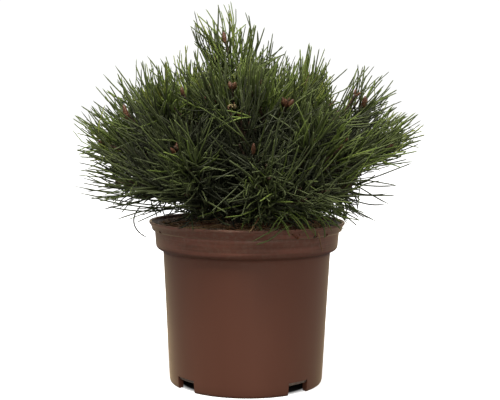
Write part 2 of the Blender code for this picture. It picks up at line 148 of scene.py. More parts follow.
def makeCamera():
    # the photograph's view: focal length from its pixels, tilted down and rolled a little
    form = cameraForm
    camera = newObject("camera", bpy.data.cameras.new("camera"))
    camera.data.sensor_width = form["sensor"]
    camera.data.lens = form["sensor"] * form["focalPixels"] / form["width"]
    camera.data.shift_x = form["shiftPixels"] / form["width"]
    tilt = Matrix.Rotation(radians(90 - form["tiltDown"]), 4, "X")
    roll = Matrix.Rotation(radians(form["roll"]), 4, "Z")
    camera.matrix_world = Matrix.Translation(form["place"]) @ tilt @ roll
    bpy.context.scene.camera = camera


def makeSoftboxes():
    # square lights aimed at the plant: a key high above, and a small fill by the camera
    for name, (place, size, watts) in softboxes.items():
        light = bpy.data.lights.new(name, "AREA")
        light.size, light.energy, light.color = size, watts, linear(lightForm["colour"])[:3]
        box = newObject(name, light)
        box.location = place
        box.rotation_euler = (Vector(lightForm["aim"]) - Vector(place)).to_track_quat("-Z", "Y").to_euler()


def makeSurround():
    # white all round, dimmer behind the camera, and plain white where the camera sees it
    form = lightForm
    world = bpy.data.worlds.new("white surround")
    bpy.context.scene.world = world
    world.use_nodes = True
    tree = world.node_tree
    tree.nodes.clear()
    toward = addNode(tree, "SeparateXYZ", Vector=addNode(tree, "TexCoord"))
    depth = mapped(tree, (toward, "Y"), *form["backwards"], form["skyFront"], form["skyBehind"])
    height = mapped(tree, (toward, "Z"), *form["horizon"], form["skyBelow"], 1.0)
    around = addNode(tree, "Background", Color=white, Strength=maths(tree, "MULTIPLY", depth, height))
    behind = addNode(tree, "Background", Color=white, Strength=form["skySeen"])
    mixed = addNode(tree, "MixShader", i0=addNode(tree, "LightPath"), i1=around, i2=behind)
    addNode(tree, "OutputWorld", Surface=mixed)
    bpy.context.scene.view_settings.view_transform = "Standard"


def makeFloor():
    # matt white studio paper, lit from beneath to stay white, but not in the pot's shade, where it carries a painted
    # shadow of dark grey
    form = floorForm
    material, tree, shader, place = newMaterial("matt white studio paper", 0.9)
    grain = noise(tree, place, 900.0)  # about 1 mm of paper tooth
    tone = ramp(tree, grain, [(0, "#F6F6F6"), (1, "#FCFCFC")])
    reach = addNode(tree, "VectorMath", {"operation": "LENGTH"}, i0=place)
    clear = mapped(tree, (reach, "Value"), *form["shade"])
    # painted shadow: the paper turns dark grey under the pot
    shade = blend(tree, clear, linear("#202020"), tone)
    lit = maths(tree, "MULTIPLY", clear, form["lit"])
    feed(tree, shader, Base_Color=shade, Emission_Color=white, Emission_Strength=lit)
    dim = addNode(tree, "BsdfDiffuse", Color=linear(form["bounce"]))
    look = addNode(tree, "MixShader", i0=addNode(tree, "LightPath"), i1=dim, i2=shader)
    feed(tree, tree.nodes["Material Output"], Surface=look)
    half = form["half"]
    sheet = bpy.data.meshes.new("floor")
    sheet.from_pydata([(-half, -half, 0), (half, -half, 0), (half, half, 0), (-half, half, 0)], [], [(0, 1, 2, 3)])
    sheet.materials.append(material)
    newObject("floor", sheet)


makeCamera()
makeSurround()
makeSoftboxes()
makeFloor()
print("camera, light and floor made")


# tools: surfaces on grids and curves, as whole arrays

def unit(vectors):
    return vectors / np.maximum(norm(vectors, axis=-1, keepdims=True), 1e-12)


def squareTo(ways):
    # a unit vector square to each way: its cross with the world axis that it is least along
    return unit(np.cross(ways, np.eye(3)[np.argmin(np.abs(ways), axis=-1)]))


def turnedAbout(vectors, axes, angles):
    # Rodrigues' turn: v cos a + (k x v) sin a + k (k.v)(1 - cos a)
    angles = np.asarray(angles)[..., None]
    along = (vectors * axes).sum(-1, keepdims=True)
    return vectors * np.cos(angles) + np.cross(axes, vectors) * np.sin(angles) + axes * along * (1 - np.cos(angles))


def curvePoint(controls, share):
    # quadratic curve through three controls: start (1-s)^2 + bend 2s(1-s) + end s^2
    s = np.asarray(share, float)[..., None]
    return controls[0] * (1 - s) ** 2 + controls[1] * 2 * s * (1 - s) + controls[2] * s**2


def curveWay(controls, share):
    # its direction: (bend - start)(1-s) + (end - bend)s, made a unit
    s = np.asarray(share, float)[..., None]
    return unit((controls[1] - controls[0]) * (1 - s) + (controls[2] - controls[1]) * s)


def patchNoise(u, v, cellsU, cellsV, seed):
    # soft patches from -1 to 1 that repeat round u: a random lattice blended by 3t^2 - 2t^3
    lattice = seeded(seed).uniform(-1, 1, (cellsU, cellsV + 2))
    x, y = (u % 1) * cellsU, np.clip(v, 0, 1) * cellsV
    column, row = np.floor(x).astype(int) % cellsU, np.floor(y).astype(int)
    fx, fy = x - np.floor(x), y - row
    fx, fy = fx * fx * (3 - 2 * fx), fy * fy * (3 - 2 * fy)
    after = (column + 1) % cellsU
    low = lattice[column, row] * (1 - fx) + lattice[after, row] * fx
    high = lattice[column, row + 1] * (1 - fx) + lattice[after, row + 1] * fx
    return low * (1 - fy) + high * fy


def tubeFaces(rings, sides):
    # triangles of a closed tube: its rings in order, then a point at each end
    ring, side = np.meshgrid(np.arange(rings - 1), np.arange(sides), indexing="ij")
    a, b = ring * sides + side, ring * sides + (side + 1) % sides
    wall = np.stack([a, b, b + sides, a, b + sides, a + sides], -1).reshape(-1, 3)
    turn, after, first = np.arange(sides), (np.arange(sides) + 1) % sides, np.full(sides, rings * sides)
    top = (rings - 1) * sides
    ends = np.stack([after, turn, first], -1), np.stack([top + turn, top + after, first + 1], -1)
    return np.concatenate([wall, *ends])


def sweep(centres, ways, radii):
    # a tube: ring i is centre i + radius(i, angle)(n cos angle + m sin angle), with n and m square to its way
    rings, sides = radii.shape
    across = squareTo(ways[:1])[0]
    first = unit(across - ways * (ways @ across)[:, None])
    second = np.cross(ways, first)
    angle = tau * np.arange(sides)[:, None] / sides
    points = centres[:, None] + radii[..., None] * (first[:, None] * np.cos(angle) + second[:, None] * np.sin(angle))
    return np.concatenate([points.reshape(-1, 3), centres[:1], centres[-1:]]), tubeFaces(rings, sides)


def joined(parts):
    # many parts as one, each part's indices moved on by the points before it
    starts = np.cumsum([0] + [len(points) for points, _ in parts[:-1]])
    return (np.concatenate([points for points, _ in parts]),
            np.concatenate([faces + start for (_, faces), start in zip(parts, starts)]))


def addPiece(name, points, faces, material, slotName, smooth=True):
    # one mesh that rides on the only body
    mesh = bpy.data.meshes.new(name)
    mesh.vertices.add(len(points))
    mesh.loops.add(faces.size)
    mesh.polygons.add(len(faces))
    mesh.vertices.foreach_set("co", np.ascontiguousarray(points, np.float32).ravel())
    mesh.loops.foreach_set("vertex_index", np.ascontiguousarray(faces, np.int32).ravel())
    mesh.polygons.foreach_set("loop_start", np.arange(0, faces.size, 3, dtype=np.int32))
    mesh.update(calc_edges=True)
    mesh.validate()
    if smooth:
        mesh.shade_smooth()
    mesh.materials.append(material)
    piece = newObject(name, mesh)
    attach(piece, "root")
    print(name, len(faces), "triangles")
    return piece


# the pot, in mm and degrees, but its marks by height in metres: from, to, and the values there

potForm = dict(steps=288, wall=1.6, channel=7, pad=52, foot=74.7, notchAzimuth=41, notchHalf=9.2, notchHeight=12,
    notchDepth=14, notchTo=82, ribDepth=5.5, ribHalf=0.6, ribInset=0.8, holeAzimuths=(48, 170, -67), holeHalf=5.2,
    holeOval=(2.4, 1.7), holeHeight=148.9, holeReach=(80, 99), panel=(-40, 31), panelRelief=0.45, panelEdge=1.2,
    panelRadius=90.1, panelShelf=([144.6, 145.1, 146, 149.6, 150.4], [0, 1, 1, 0.6, 0]), sharp=32,
    scuffs=(0.126, 0.134, 0.0, 0.6), dustAndLight=(0.118, 0.157), smears=(0.45, 0.75), dustAndLightShare=0.8, film=(0.12, 0.14),
    flowDull=(0.38, 0.47), lipDull=(0.154, 0.1562, 0.0, 0.22))
# height and radius down the outer side in mm: rolled lip, band, ledge and tapered wall
potOuter = [(157, 93.9), (156.8, 94.6), (156.2, 95), (155, 94.9), (153.4, 93.6), (151.5, 92.7), (149.4, 92.2),
    (148.5, 91.7), (148, 90.9), (147.6, 90), (147.1, 89.6), (146.4, 89.4), (145.5, 89.3), (142, 89), (138, 88.7),
    (134, 88.4), (132.6, 88.1), (131.6, 87.6), (130.6, 86.7), (129.6, 85.2), (128.8, 83.4), (128.1, 82),
    (127.2, 81.4), (125.6, 81.2), (120, 80.85), (105, 80.1), (88, 79.2), (60, 77.8), (30, 76.3), (10, 75.3),
    (3, 74.9), (1.2, 74.5), (0.4, 74), (0, 73.4)]


def potShell():
    # a closed profile turned about Z. On the panel's arc the lip's foot lies 3 mm lower, proud by the relief
    form = potForm
    wall, channel, pad, floor = form["wall"], form["channel"], form["pad"], form["pad"] - form["wall"]
    low = channel + wall
    outer = np.array(potOuter)
    upper = outer[outer[:, 0] > 20]
    innerTop = np.stack([np.minimum(upper[:, 0], 156.4), upper[:, 1] - wall], -1)
    inner = np.array([(80, 77.2), (40, 75.2), (low + 1, 73.6), (low, 72.6), (low, 56), (low, floor), (low - 1, floor),
                      (wall, floor), (wall, 25)])
    under = np.array([(0, 72.4), (1, 72.1), (channel, 72.4), (channel, pad), (0.6, pad), (0, pad - 0.6), (0, 25)])
    rimEdge = np.array([(156.6, 92.7), (156.8, 93.4)])
    profile = np.concatenate([inner[::-1], innerTop[::-1], rimEdge, outer, under])
    azimuth = tau * np.arange(form["steps"]) / form["steps"]
    fromFront = (np.degrees(azimuth) + 270) % 360 - 180
    (left, right), edge = form["panel"], form["panelEdge"]
    inPanel = np.clip((fromFront - left) / edge, 0, 1) * np.clip((right - fromFront) / edge, 0, 1)
    z, r = np.broadcast_to(profile[:, :1], (len(profile), form["steps"])), profile[:, 1:]
    isOuter = (np.arange(len(profile)) >= len(profile) - len(under) - len(outer))[:, None] & (z > 140)
    proud = np.maximum(0, form["panelRadius"] + form["panelRelief"] - r) * inPanel * isOuter
    proud = proud * np.interp(z, *form["panelShelf"])
    radius = r + np.where(r > 89, proud, proud * 0.9)
    points = np.stack([radius * np.cos(azimuth), radius * np.sin(azimuth), z], -1) * mm
    poles = np.array([(0, 0, wall), (0, 0, 0)]) * mm
    return np.concatenate([points.reshape(-1, 3), poles]), tubeFaces(len(profile), form["steps"])


def boxAt(azimuth, radii, width, heights):
    # a box along a radius: its corners turned to their azimuth, and its triangles
    corners = np.stack(np.meshgrid(radii, (-width / 2, width / 2), heights, indexing="ij"), -1).reshape(-1, 3)
    c, s = cos(radians(azimuth)), sin(radians(azimuth))
    points = corners @ np.array([(c, s, 0), (-s, c, 0), (0, 0, 1)]) * mm
    return points, np.array([(0, 1, 3), (0, 3, 2), (4, 6, 7), (4, 7, 5), (0, 4, 5), (0, 5, 1), (2, 3, 7), (2, 7, 6),
                             (0, 2, 6), (0, 6, 4), (1, 5, 7), (1, 7, 3)])


def rodAt(azimuth, radii, halves, height, sides=18):
    # a rod along a radius, to drill an oval hole: radius 1 / hypot(cos a / half width, sin a / half height)
    way = polar(azimuth, 1, 0)
    ends = np.array([way * radii[0] + (0, 0, height), way * radii[1] + (0, 0, height)]) * mm
    angle = tau * np.arange(sides) / sides
    radius = 1 / np.hypot(np.cos(angle) / halves[0], np.sin(angle) / halves[1])
    return sweep(ends, np.array([way, way]), np.stack([radius, radius]) * mm)


def polar(azimuth, reach, height):
    turn = radians(azimuth)
    return np.array([reach * cos(turn), reach * sin(turn), height])


def combine(piece, operation, parts):
    # one applied Boolean with the parts joined in a single cutter
    points, faces = joined(parts)
    mesh = bpy.data.meshes.new("cutter")
    mesh.from_pydata(points.tolist(), [], faces.tolist())
    cutter = newObject("cutter", mesh)
    change = piece.modifiers.new("cut", "BOOLEAN")
    change.operation, change.solver, change.object = operation, "EXACT", cutter
    changed = bpy.data.meshes.new_from_object(piece.evaluated_get(bpy.context.evaluated_depsgraph_get()))
    piece.modifiers.clear()
    piece.data = changed
    bpy.data.objects.remove(cutter, do_unlink=True)


def plasticMaterial():
    # matt moulded polypropylene: flow marks down the wall, scuffs round the band, and dust towards the lip, laid on
    # thick as painted light to make the upper wall and lip paler
    form = potForm
    material, tree, shader, place = newMaterial("moulded brown polypropylene", 0.42, 1.49)
    height = (addNode(tree, "SeparateXYZ", Vector=place), "Z")
    flow = addNode(tree, "Mapping", Vector=place, Scale=(14.0, 14.0, 3.0))  # flow marks 70 mm wide, long down
    marks = noise(tree, flow, 1.0, Detail=3.0)
    even = ramp(tree, marks, [(0.3, "#653D2E"), (0.7, "#6D4333")])
    level = addNode(tree, "Mapping", Vector=place, Scale=(18.0, 18.0, 520.0))  # scuffs 2 mm high, long round the band
    scuffs = noise(tree, level, 1.0, Detail=2.0)
    scuffed = ramp(tree, scuffs, [(0.36, "#5F3A2C"), (0.5, "#724638"), (0.62, "#855143")])
    brown = blend(tree, mapped(tree, height, *form["scuffs"]), even, scuffed)
    specks = noise(tree, place, 260.0, Detail=6.0, Roughness=0.7)  # 4 mm smears
    # dust towards the lip, partly real dust and partly painted light: paler the higher it stands
    dustAndLightShare = maths(tree, "MULTIPLY", mapped(tree, height, *form["dustAndLight"]), mapped(tree, specks, *form["smears"]))
    dustAndLight = blend(tree, maths(tree, "MULTIPLY", dustAndLightShare, form["dustAndLightShare"]), brown, linear("#7E6A5A"))
    # a film of fine dust, on all but the ledge's underside
    film = ramp(tree, mapped(tree, height, *form["film"]),
                [(0.3, "#FFFFFF"), (0.36, "#000000"), (0.6, "#000000"), (0.7, "#FFFFFF")])
    dull = maths(tree, "ADD", mapped(tree, marks, 0, 1, *form["flowDull"]), mapped(tree, height, *form["lipDull"]))
    feed(tree, shader, Base_Color=dustAndLight, Roughness=dull, Sheen_Weight=film, Sheen_Roughness=0.35,
         Sheen_Tint=linear("#E2CCA6"))
    grain = noise(tree, place, 1400.0, Detail=2.0)  # 0.7 mm orange peel
    bumped(tree, shader, grain, 0.00006, 0.6)
    return material


def makePot():
    # the shell and the ribs beside its four notches, then the notches and the holes cut out
    form = potForm
    foot, half = form["foot"], form["notchHalf"]
    pot = addPiece("pot_shell", *potShell(), plasticMaterial(), "pot_plastic")
    notches = [form["notchAzimuth"] - 90 + 90 * i for i in range(4)]
    edges = [middle + side * (half + form["ribHalf"]) for middle in notches for side in (-1, 1)]
    radii, heights = (foot - form["ribDepth"], foot - form["ribInset"]), (0.3, form["channel"] + 0.8)
    combine(pot, "UNION", [boxAt(edge, radii, form["wall"], heights) for edge in edges])
    radii, heights = (foot - form["notchDepth"], form["notchTo"]), (-2, form["notchHeight"])
    cuts = [boxAt(middle, radii, 2 * foot * sin(radians(half)), heights) for middle in notches]
    holes = [middle - 90 + side * form["holeHalf"] for middle in form["holeAzimuths"] for side in (-1, 1)]
    cuts += [rodAt(hole, form["holeReach"], form["holeOval"], form["holeHeight"]) for hole in holes]
    combine(pot, "DIFFERENCE", cuts)
    pot.data.shade_smooth()
    pot.data.set_sharp_from_angle(angle=radians(form["sharp"]))
    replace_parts(pot, "pot")


makePot()


# the compost

# below: heights and radii of the hidden wall. lumps: cells over the span, share of the relief and seed
compostForm = dict(reaches=(19, 52, 86.4), levels=(154, 152.4, 149), rings=90, sides=300, relief=1.1,
    lumps=((26, 0.6, 5), (80, 0.5, 6)), span=200, bank=5.5, bankAt=165, bankHalf=62, bankFrom=72, base=8.9,
    below=[(8.9, 70), (8.9, 72.8), (129.3, 78.9), (133.8, 85.6)])
crumbForm = dict(count=3600, seed=21, least=13, most=84.9, size=(0.7, 2.1), stretch=(0.7, 1.5), raised=0.2)
# shown: x, y and size of the chip at the front of the rim. stuck: x, y, z and size of the flakes on the lip
chipForm = dict(count=46, seed=33, least=16, most=84.9, size=(3, 8), stretch=((0.8, 1.3), (0.6, 1), (0.3, 0.5)),
    stuckStretch=(1.3, 0.5, 0.6), shown=(24, -76, 9), raised=0.15,
    stuck=[(41, -84.6, 152.6, 3.6), (43.5, -82.6, 150.4, 3.2), (45.5, -81.2, 149.2, 4), (47.5, -81.6, 152.4, 2.4)])


def compostHeight(x, y):
    # the mound in mm: its level at that reach, a bank of (1 - aside^4) times its share, and lumps of two scales
    form = compostForm
    reach, start = np.hypot(x, y), form["bankFrom"]
    aside = np.abs((np.degrees(np.arctan2(y, x)) - form["bankAt"] + 180) % 360 - 180) / form["bankHalf"]
    banked = (1 - np.clip(aside, 0, 1) ** 4) * np.clip((reach - start) / (form["reaches"][2] - start), 0, 1)
    u, v = (x / form["span"]) % 1, np.clip(y / form["span"] + 0.5, 0, 1)
    lumps = sum(part * patchNoise(u, v, cells, cells, seed) for cells, part, seed in form["lumps"])
    return np.interp(reach, form["reaches"], form["levels"]) + form["bank"] * banked + form["relief"] * lumps


def scattered(form):
    # places spread evenly, in mm: reach is the root of an even draw between the squares of least and most
    chance = seeded(form["seed"])
    reach = np.sqrt(chance.uniform(form["least"] ** 2, form["most"] ** 2, form["count"]))
    angle = chance.uniform(0, tau, form["count"])
    return reach * np.cos(angle), reach * np.sin(angle), chance


def peatMaterial(name, dark, middle, light):
    # matt peat with paler fibres, in 2.4 mm crumbs
    return patterned(name, 0.95, 1.45, "TexNoise", 420.0, [(0.32, dark), (0.52, middle), (0.7, light)], 0.0008,
                     Detail=8.0, Roughness=0.75)


def makeCompost():
    # rings round Z: the hidden wall inside the pot, then the mound from its edge to the middle
    form = compostForm
    side = tau * np.arange(form["sides"]) / form["sides"]
    reach = np.linspace(form["reaches"][2], 1.0, form["rings"])
    x, y = reach[:, None] * np.cos(side), reach[:, None] * np.sin(side)
    top = np.stack([x, y, compostHeight(x, y)], -1)
    below = np.array(form["below"])
    wall = np.stack([below[:, 1:] * np.cos(side), below[:, 1:] * np.sin(side), below[:, :1] + 0 * side], -1)
    ends = np.array([(0, 0, form["base"]), (0, 0, top[-1, :, 2].mean())])
    points = np.concatenate([np.concatenate([wall, top]).reshape(-1, 3), ends]) * mm
    peat = peatMaterial("crumbled peat compost", "#7A6C62", "#AE9A8C", "#DAC8B6")
    surface = addPiece("compost", points, tubeFaces(len(below) + form["rings"], form["sides"]), peat, "compost")
    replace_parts(surface, "root_ball")


def blobs(x, y, z, size, stretch, chance):
    # a lumpy octahedron at each place: its corners pushed out by 0.6 to 1.3 and turned at random
    count = len(x)
    corners = np.array([(1, 0, 0), (-1, 0, 0), (0, 1, 0), (0, -1, 0), (0, 0, 1), (0, 0, -1)], float)
    shaped = corners * chance.uniform(0.6, 1.3, (count, 6, 1)) * size[:, None, None] / 2 * stretch[:, None]
    axes = unit(chance.normal(size=(count, 3)))[:, None] + 0 * shaped
    angles = chance.uniform(0, tau, (count, 1)) + np.zeros((count, 6))
    points = turnedAbout(shaped, axes, angles) + np.stack([x, y, z], -1)[:, None]
    faces = np.array([(0, 2, 4), (2, 1, 4), (1, 3, 4), (3, 0, 4), (2, 0, 5), (1, 2, 5), (3, 1, 5), (0, 3, 5)])
    return points.reshape(-1, 3) * mm, (faces + 6 * np.arange(count)[:, None, None]).reshape(-1, 3)


def makeCrumbs():
    # small lumps of peat, sunk a little
    form = crumbForm
    x, y, chance = scattered(form)
    size = chance.uniform(*form["size"], len(x))
    stretch = chance.uniform(*form["stretch"], (len(x), 3))
    points, faces = blobs(x, y, compostHeight(x, y) + size * form["raised"], size, stretch, chance)
    peat = peatMaterial("loose peat crumbs", "#7A6656", "#B0967E", "#DAC6AC")
    addPiece("compost_crumbs", points, faces, peat, "compost", False)


def makeChips():
    # flat lumps of pine bark, with 2 mm layers of cork
    form = chipForm
    x, y, chance = scattered(form)
    size = chance.uniform(*form["size"], len(x))
    x[0], y[0], size[0] = form["shown"]
    stretch = np.stack([chance.uniform(*ends, len(x)) for ends in form["stretch"]], -1)
    stuck = np.array(form["stuck"])
    lying = np.stack([x, y, compostHeight(x, y) + size * form["raised"]], -1)
    x, y, z = np.concatenate([lying, stuck[:, :3]]).T
    size = np.concatenate([size, stuck[:, 3]])
    stretch = np.concatenate([stretch, np.tile(form["stuckStretch"], (len(stuck), 1))])
    cork = patterned("broken pine bark", 0.85, 1.45, "TexNoise", 500.0,
                     [(0.35, "#4A2E1E"), (0.55, "#7C4B2C"), (0.75, "#9A6841")], 0.0005, Detail=5.0)
    addPiece("bark_chips", *blobs(x, y, z, size, stretch, chance), cork, "bark", False)


makeCompost()
makeCrumbs()
makeChips()


# the growth rule, the same as the solids': trunk, boughs and side shoots

# azimuth in degrees, reach and height of the end bud, height of the foot (mm), side shoots, turn of their fan
boughTable = dict(
    leader=(157, 26, 338, 226, 2, 180),
    upper_left=(-162, 66, 284, 203, 2, 30),
    upper_front=(-108, 47, 289, 209, 1, -60),
    upper_front_right=(-59, 70, 274, 203, 2, 20),
    upper_right=(14, 60, 287, 202, 2, 200),
    upper_back_right=(66, 40, 302, 210, 1, 240),
    upper_back_left=(128, 66, 298, 206, 2, 210),
    left=(-176, 119, 266, 192, 2, 50),
    left_low=(170, 127, 236, 179, 2, 20),
    middle_front_left=(-131, 101, 231, 177, 2, 40),
    middle_front=(-87, 100, 233, 183, 2, 60),
    middle_front_right=(-38, 106, 230, 178, 2, 10),
    right=(4, 115, 277, 194, 2, 40),
    right_low=(6, 144, 241, 183, 2, 15),
    middle_back_right=(42, 106, 250, 187, 2, 30),
    middle_back=(90, 99, 252, 183, 2, 0),
    middle_back_left=(132, 106, 254, 190, 2, 60),
    skirt_left=(-168, 129, 196, 168, 2, 0),
    skirt_front_left=(-121, 108, 189, 164, 1, 0),
    skirt_front=(-80, 113, 188, 170, 1, 180),
    skirt_front_right=(-50, 114, 193, 164, 1, 180),
    skirt_right=(-14, 107, 199, 169, 1, 90),
    skirt_back_right=(36, 124, 198, 164, 1, 0),
    skirt_back=(84, 115, 194, 170, 2, 0),
    skirt_back_left=(136, 122, 198, 164, 2, 0),
)
trunkForm = dict(foot=154.3, soil=154, top=226, lean=(-7, 4), flare=13, flareHeight=9, radius=9.5, tip=6, straight=16,
    relief=0.55, plates=(14, 16, 40), lobes=5, lobeDepth=0.1, lobeTurn=0.2, rings=96, sides=72)
boughForm = dict(share=0.42, radius=3.2, tip=2.3, relief=0.3, lowBud=185, lowElevation=10, steepen=0.62,
    mostElevation=82, endShare=0.55, plates=(7, 12, 60), leaderStraight=45, rings=34, sides=20)
shootForm = dict(fork=0.58, sideLength=62, leaderSideLength=31, spread=46, bend=0.55, end=0.5, lift=0.35, wobble=12,
    lengths=(0.9, 1.05), seed=100, radius=1.9, tip=1.35, cushion=0.12, turns=(3, 9), rings=14, sides=8)
twigForm = dict(share=(0.4, 0.78), above=0.1, within=(0.2, 0.8), wobble=0.5, length=(20, 27), spread=(32, 50), each=3,
    clear=40, seed=500, radius=1.15, tip=0.95, bend=0.5, lean=0.7, lift=0.3, end=0.55, inner=5,
    innerShare=(0.1, 0.45), innerSpread=(50, 85), innerLowest=172)


def trunkAxis(height):
    # upright at both ends, and leaning between them by 3s^2 - 2s^3, in mm
    form = trunkForm
    low = form["soil"] + form["flareHeight"]
    share = np.clip((np.asarray(height, float) - low) / (form["top"] - form["straight"] - low), 0, 1)
    lean = share**2 * (3 - 2 * share)
    return np.stack([form["lean"][0] * lean, form["lean"][1] * lean, height + 0 * lean], -1)


def boughControls(name):
    # from the whorl up to the end bud, steeper the higher the bud stands
    azimuth, reach, height, foot = boughTable[name][:4]
    form = boughForm
    bud, root = polar(azimuth, reach, height), trunkAxis(foot)
    if name == "leader":
        return np.array([root, root + (0, 0, form["leaderStraight"]), bud])
    rise = min(form["steepen"] * (height - form["lowBud"]), form["mostElevation"] - form["lowElevation"])
    steep = radians(form["lowElevation"] + rise)
    way = polar(azimuth, cos(steep), sin(steep))
    return np.array([root, bud - way * form["endShare"] * norm(bud - root), bud])


def slanted(way, across, angle, spread):
    # a way turned aside by its spread, towards across turned round it by the angle
    side = across * cos(angle) + np.cross(way, across) * sin(angle)
    return way * cos(spread) + side * sin(spread)


def sideControls(controls, number, count, turn, full, chance):
    # leaves the fork at a slant, turned by the fan, and bends up beside the end shoot
    form = shootForm
    fork, way = curvePoint(controls, form["fork"]), curveWay(controls, form["fork"])
    across = np.cross(way, (0, 0, 1))
    across = unit(across) if norm(across) > 0.2 else np.array([1.0, 0, 0])
    angle = radians(turn + 360 * number / count + chance.uniform(-form["wobble"], form["wobble"]))
    length = full * chance.uniform(*form["lengths"])
    out = slanted(way, across, -angle, radians(form["spread"]))  # the fan turns the other way round
    bend = fork + out * length * form["bend"]
    return np.array([fork, bend, bend + unit(out + way + (0, 0, form["lift"])) * length * form["end"]])


def twigControls(controls, share, angle, spread, length):
    # leaves its shoot at a share of the line, and bends towards the shoot's way and up
    root, way = curvePoint(controls, share), curveWay(controls, share)
    form, out = twigForm, slanted(way, squareTo(way[None])[0], angle, spread)
    bend = root + out * length * form["bend"]
    tip = bend + unit(out * form["lean"] + way + (0, 0, form["lift"])) * length * form["end"]
    return np.array([root, bend, tip])


# the crown's outline in mm: heights, and the reach of the furthest tips there. The leader has a column of its own
crownForm = dict(heights=(155, 168, 178, 188, 200, 215, 226, 240, 252, 268, 288, 298, 303, 307, 312, 318, 323, 329,
        335, 345),
    reaches=(112, 140, 156, 166, 166, 164, 172, 175, 174, 165, 155, 146, 136, 125, 111, 95, 78, 58, 41, 20),
    upper=240, depth=1.1, ragged=30, leaderAt=(-24, 10), leaderReach=34, leaderHeight=375, thinDepth=50,
    thin=(0.45, 0.85), thinFrom=(255, 295), thinAt=(0.45, 0.75, 1.0), thinSeed=31)


def crownRoom(tips, ragged=0, leads=0):
    # mm inside the outline: the less of a tip's room outwards and upwards, less its raggedness. A leader's tip takes
    # the more of that and its room in the column
    form = crownForm
    heights, reaches = np.array(form["heights"], float), np.array(form["reaches"], float)
    upper = heights >= form["upper"]
    reach = np.hypot(tips[..., 0], tips[..., 1] * form["depth"])
    outwards = np.interp(tips[..., 2], heights, reaches, right=-1) - reach
    upwards = np.interp(reach, reaches[upper][::-1], heights[upper][::-1]) - tips[..., 2]
    room = np.minimum(outwards, upwards) - form["ragged"] * ragged
    apart = np.hypot(tips[..., 0] - form["leaderAt"][0], tips[..., 1] - form["leaderAt"][1])
    column = np.minimum(form["leaderReach"] - apart, form["leaderHeight"] - form["ragged"] * ragged - tips[..., 2])
    return np.where(leads == 1, np.maximum(room, column), room)


def shootOf(mass, rank, line, low=0.0, high=0.95):
    # rank: 0 end, 1 side, 2 fine, 3 the bough's older wood. low is where it starts, high where its needles end
    return {"mass": mass, "rank": rank, "line": line, "low": low, "high": high}


def growShoots():
    # the bough's end, its side shoots, finer twigs at even turns round both where there is room, and in the low
    # masses short twigs inside the foot of the crown
    form, shoots = twigForm, []
    for index, (name, row) in enumerate(boughTable.items()):
        chance, finer = random.Random(shootForm["seed"] + index), seeded(form["seed"] + index)
        controls = boughControls(name)
        full = shootForm["leaderSideLength" if name == "leader" else "sideLength"]
        grown = [shootOf(name, 0, controls, boughForm["share"])]
        grown += [shootOf(name, 1, sideControls(controls, number, *row[4:], full, chance))
                  for number in range(row[4])]
        for parent in list(grown):
            first = finer.uniform(0, tau)
            start = max(parent["low"] + form["above"], form["share"][0])
            for number in range(form["each"]):
                step = number + finer.uniform(*form["within"])
                share = start + (form["share"][1] - start) * step / form["each"]
                angle = first + tau * number / form["each"] + finer.uniform(-form["wobble"], form["wobble"])
                spread = radians(finer.uniform(*form["spread"]))
                line = twigControls(parent["line"], share, angle, spread, finer.uniform(*form["length"]))
                if name != "leader" and crownRoom(line[2]) > form["clear"]:
                    grown.append(shootOf(name, 2, line))
        for number in range(form["inner"] if name.startswith(("skirt", "middle")) else 0):
            share, spread = finer.uniform(*form["innerShare"]), radians(finer.uniform(*form["innerSpread"]))
            line = twigControls(controls, share, finer.uniform(0, tau), spread, finer.uniform(*form["length"]))
            if line[2][2] > form["innerLowest"]:
                grown.append(shootOf(name, 2, line))
        shoots += grown
    return shoots


# bark: the trunk, the boughs and the shoots

def barkMaterial():
    # dry young bark: thin grey-brown scales over a redder layer
    material, tree, shader, place = newMaterial("scaly pine bark", 0.9, 1.45)
    scales = addNode(tree, "TexVoronoi", {"feature": "DISTANCE_TO_EDGE"}, Vector=place, Scale=320.0)  # 3 mm scales
    rough = noise(tree, place, 700.0, Detail=6.0)  # 1.4 mm grain
    edge = mapped(tree, scales, 0.0, 0.18)
    tone = ramp(tree, rough, [(0.3, "#3A2E25"), (0.5, "#57473A"), (0.72, "#7A6857")])
    feed(tree, shader, Base_Color=blend(tree, edge, linear("#2A1D15"), tone))
    bumped(tree, shader, maths(tree, "ADD", edge, rough), 0.0004)
    return material


def barkRelief(u, v, cellsU, cellsV, seed):
    # flaking plates: ridges where two scales of patches cross zero, in shares of the relief
    ridges = 1 - 2 * np.abs(patchNoise(u, v, cellsU, cellsV, seed))
    return 0.48 * ridges + 0.5 * patchNoise(u, v, cellsU * 3, cellsV * 3, seed + 1)


def turns(form):
    # the share of a turn and the share of the length, at every point of a tube
    return np.meshgrid(np.arange(form["sides"]) / form["sides"], np.linspace(0, 1, form["rings"]))


def makeTrunk(material):
    # radius falls in a straight line, with a flare of (1 - s)^2 at the soil in soft lobes
    form = trunkForm
    heights = np.linspace(form["foot"], form["top"], form["rings"])
    share = (heights - form["soil"]) / (form["top"] - form["soil"])
    flare = np.maximum(0, 1 - (heights - form["soil"]) / form["flareHeight"]) ** 2
    radius = form["radius"] + (form["tip"] - form["radius"]) * share + (form["flare"] - form["radius"]) * flare
    u, v = turns(form)
    lobes = 1 + form["lobeDepth"] * flare[:, None] * np.cos(tau * (form["lobes"] * u + form["lobeTurn"]))
    radii = radius[:, None] * lobes + form["relief"] * barkRelief(u, v, *form["plates"])
    centres = trunkAxis(heights)
    tube = sweep(centres * mm, unit(np.gradient(centres, axis=0)), radii * mm)
    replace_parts(addPiece("trunk_bark", *tube, material, "bark"), "trunk")


def alongLine(line, low, high, radii):
    # a tube along part of a line, by its shares
    share = np.linspace(low, high, len(radii))
    return sweep(curvePoint(line, share) * mm, curveWay(line, share), radii * mm)


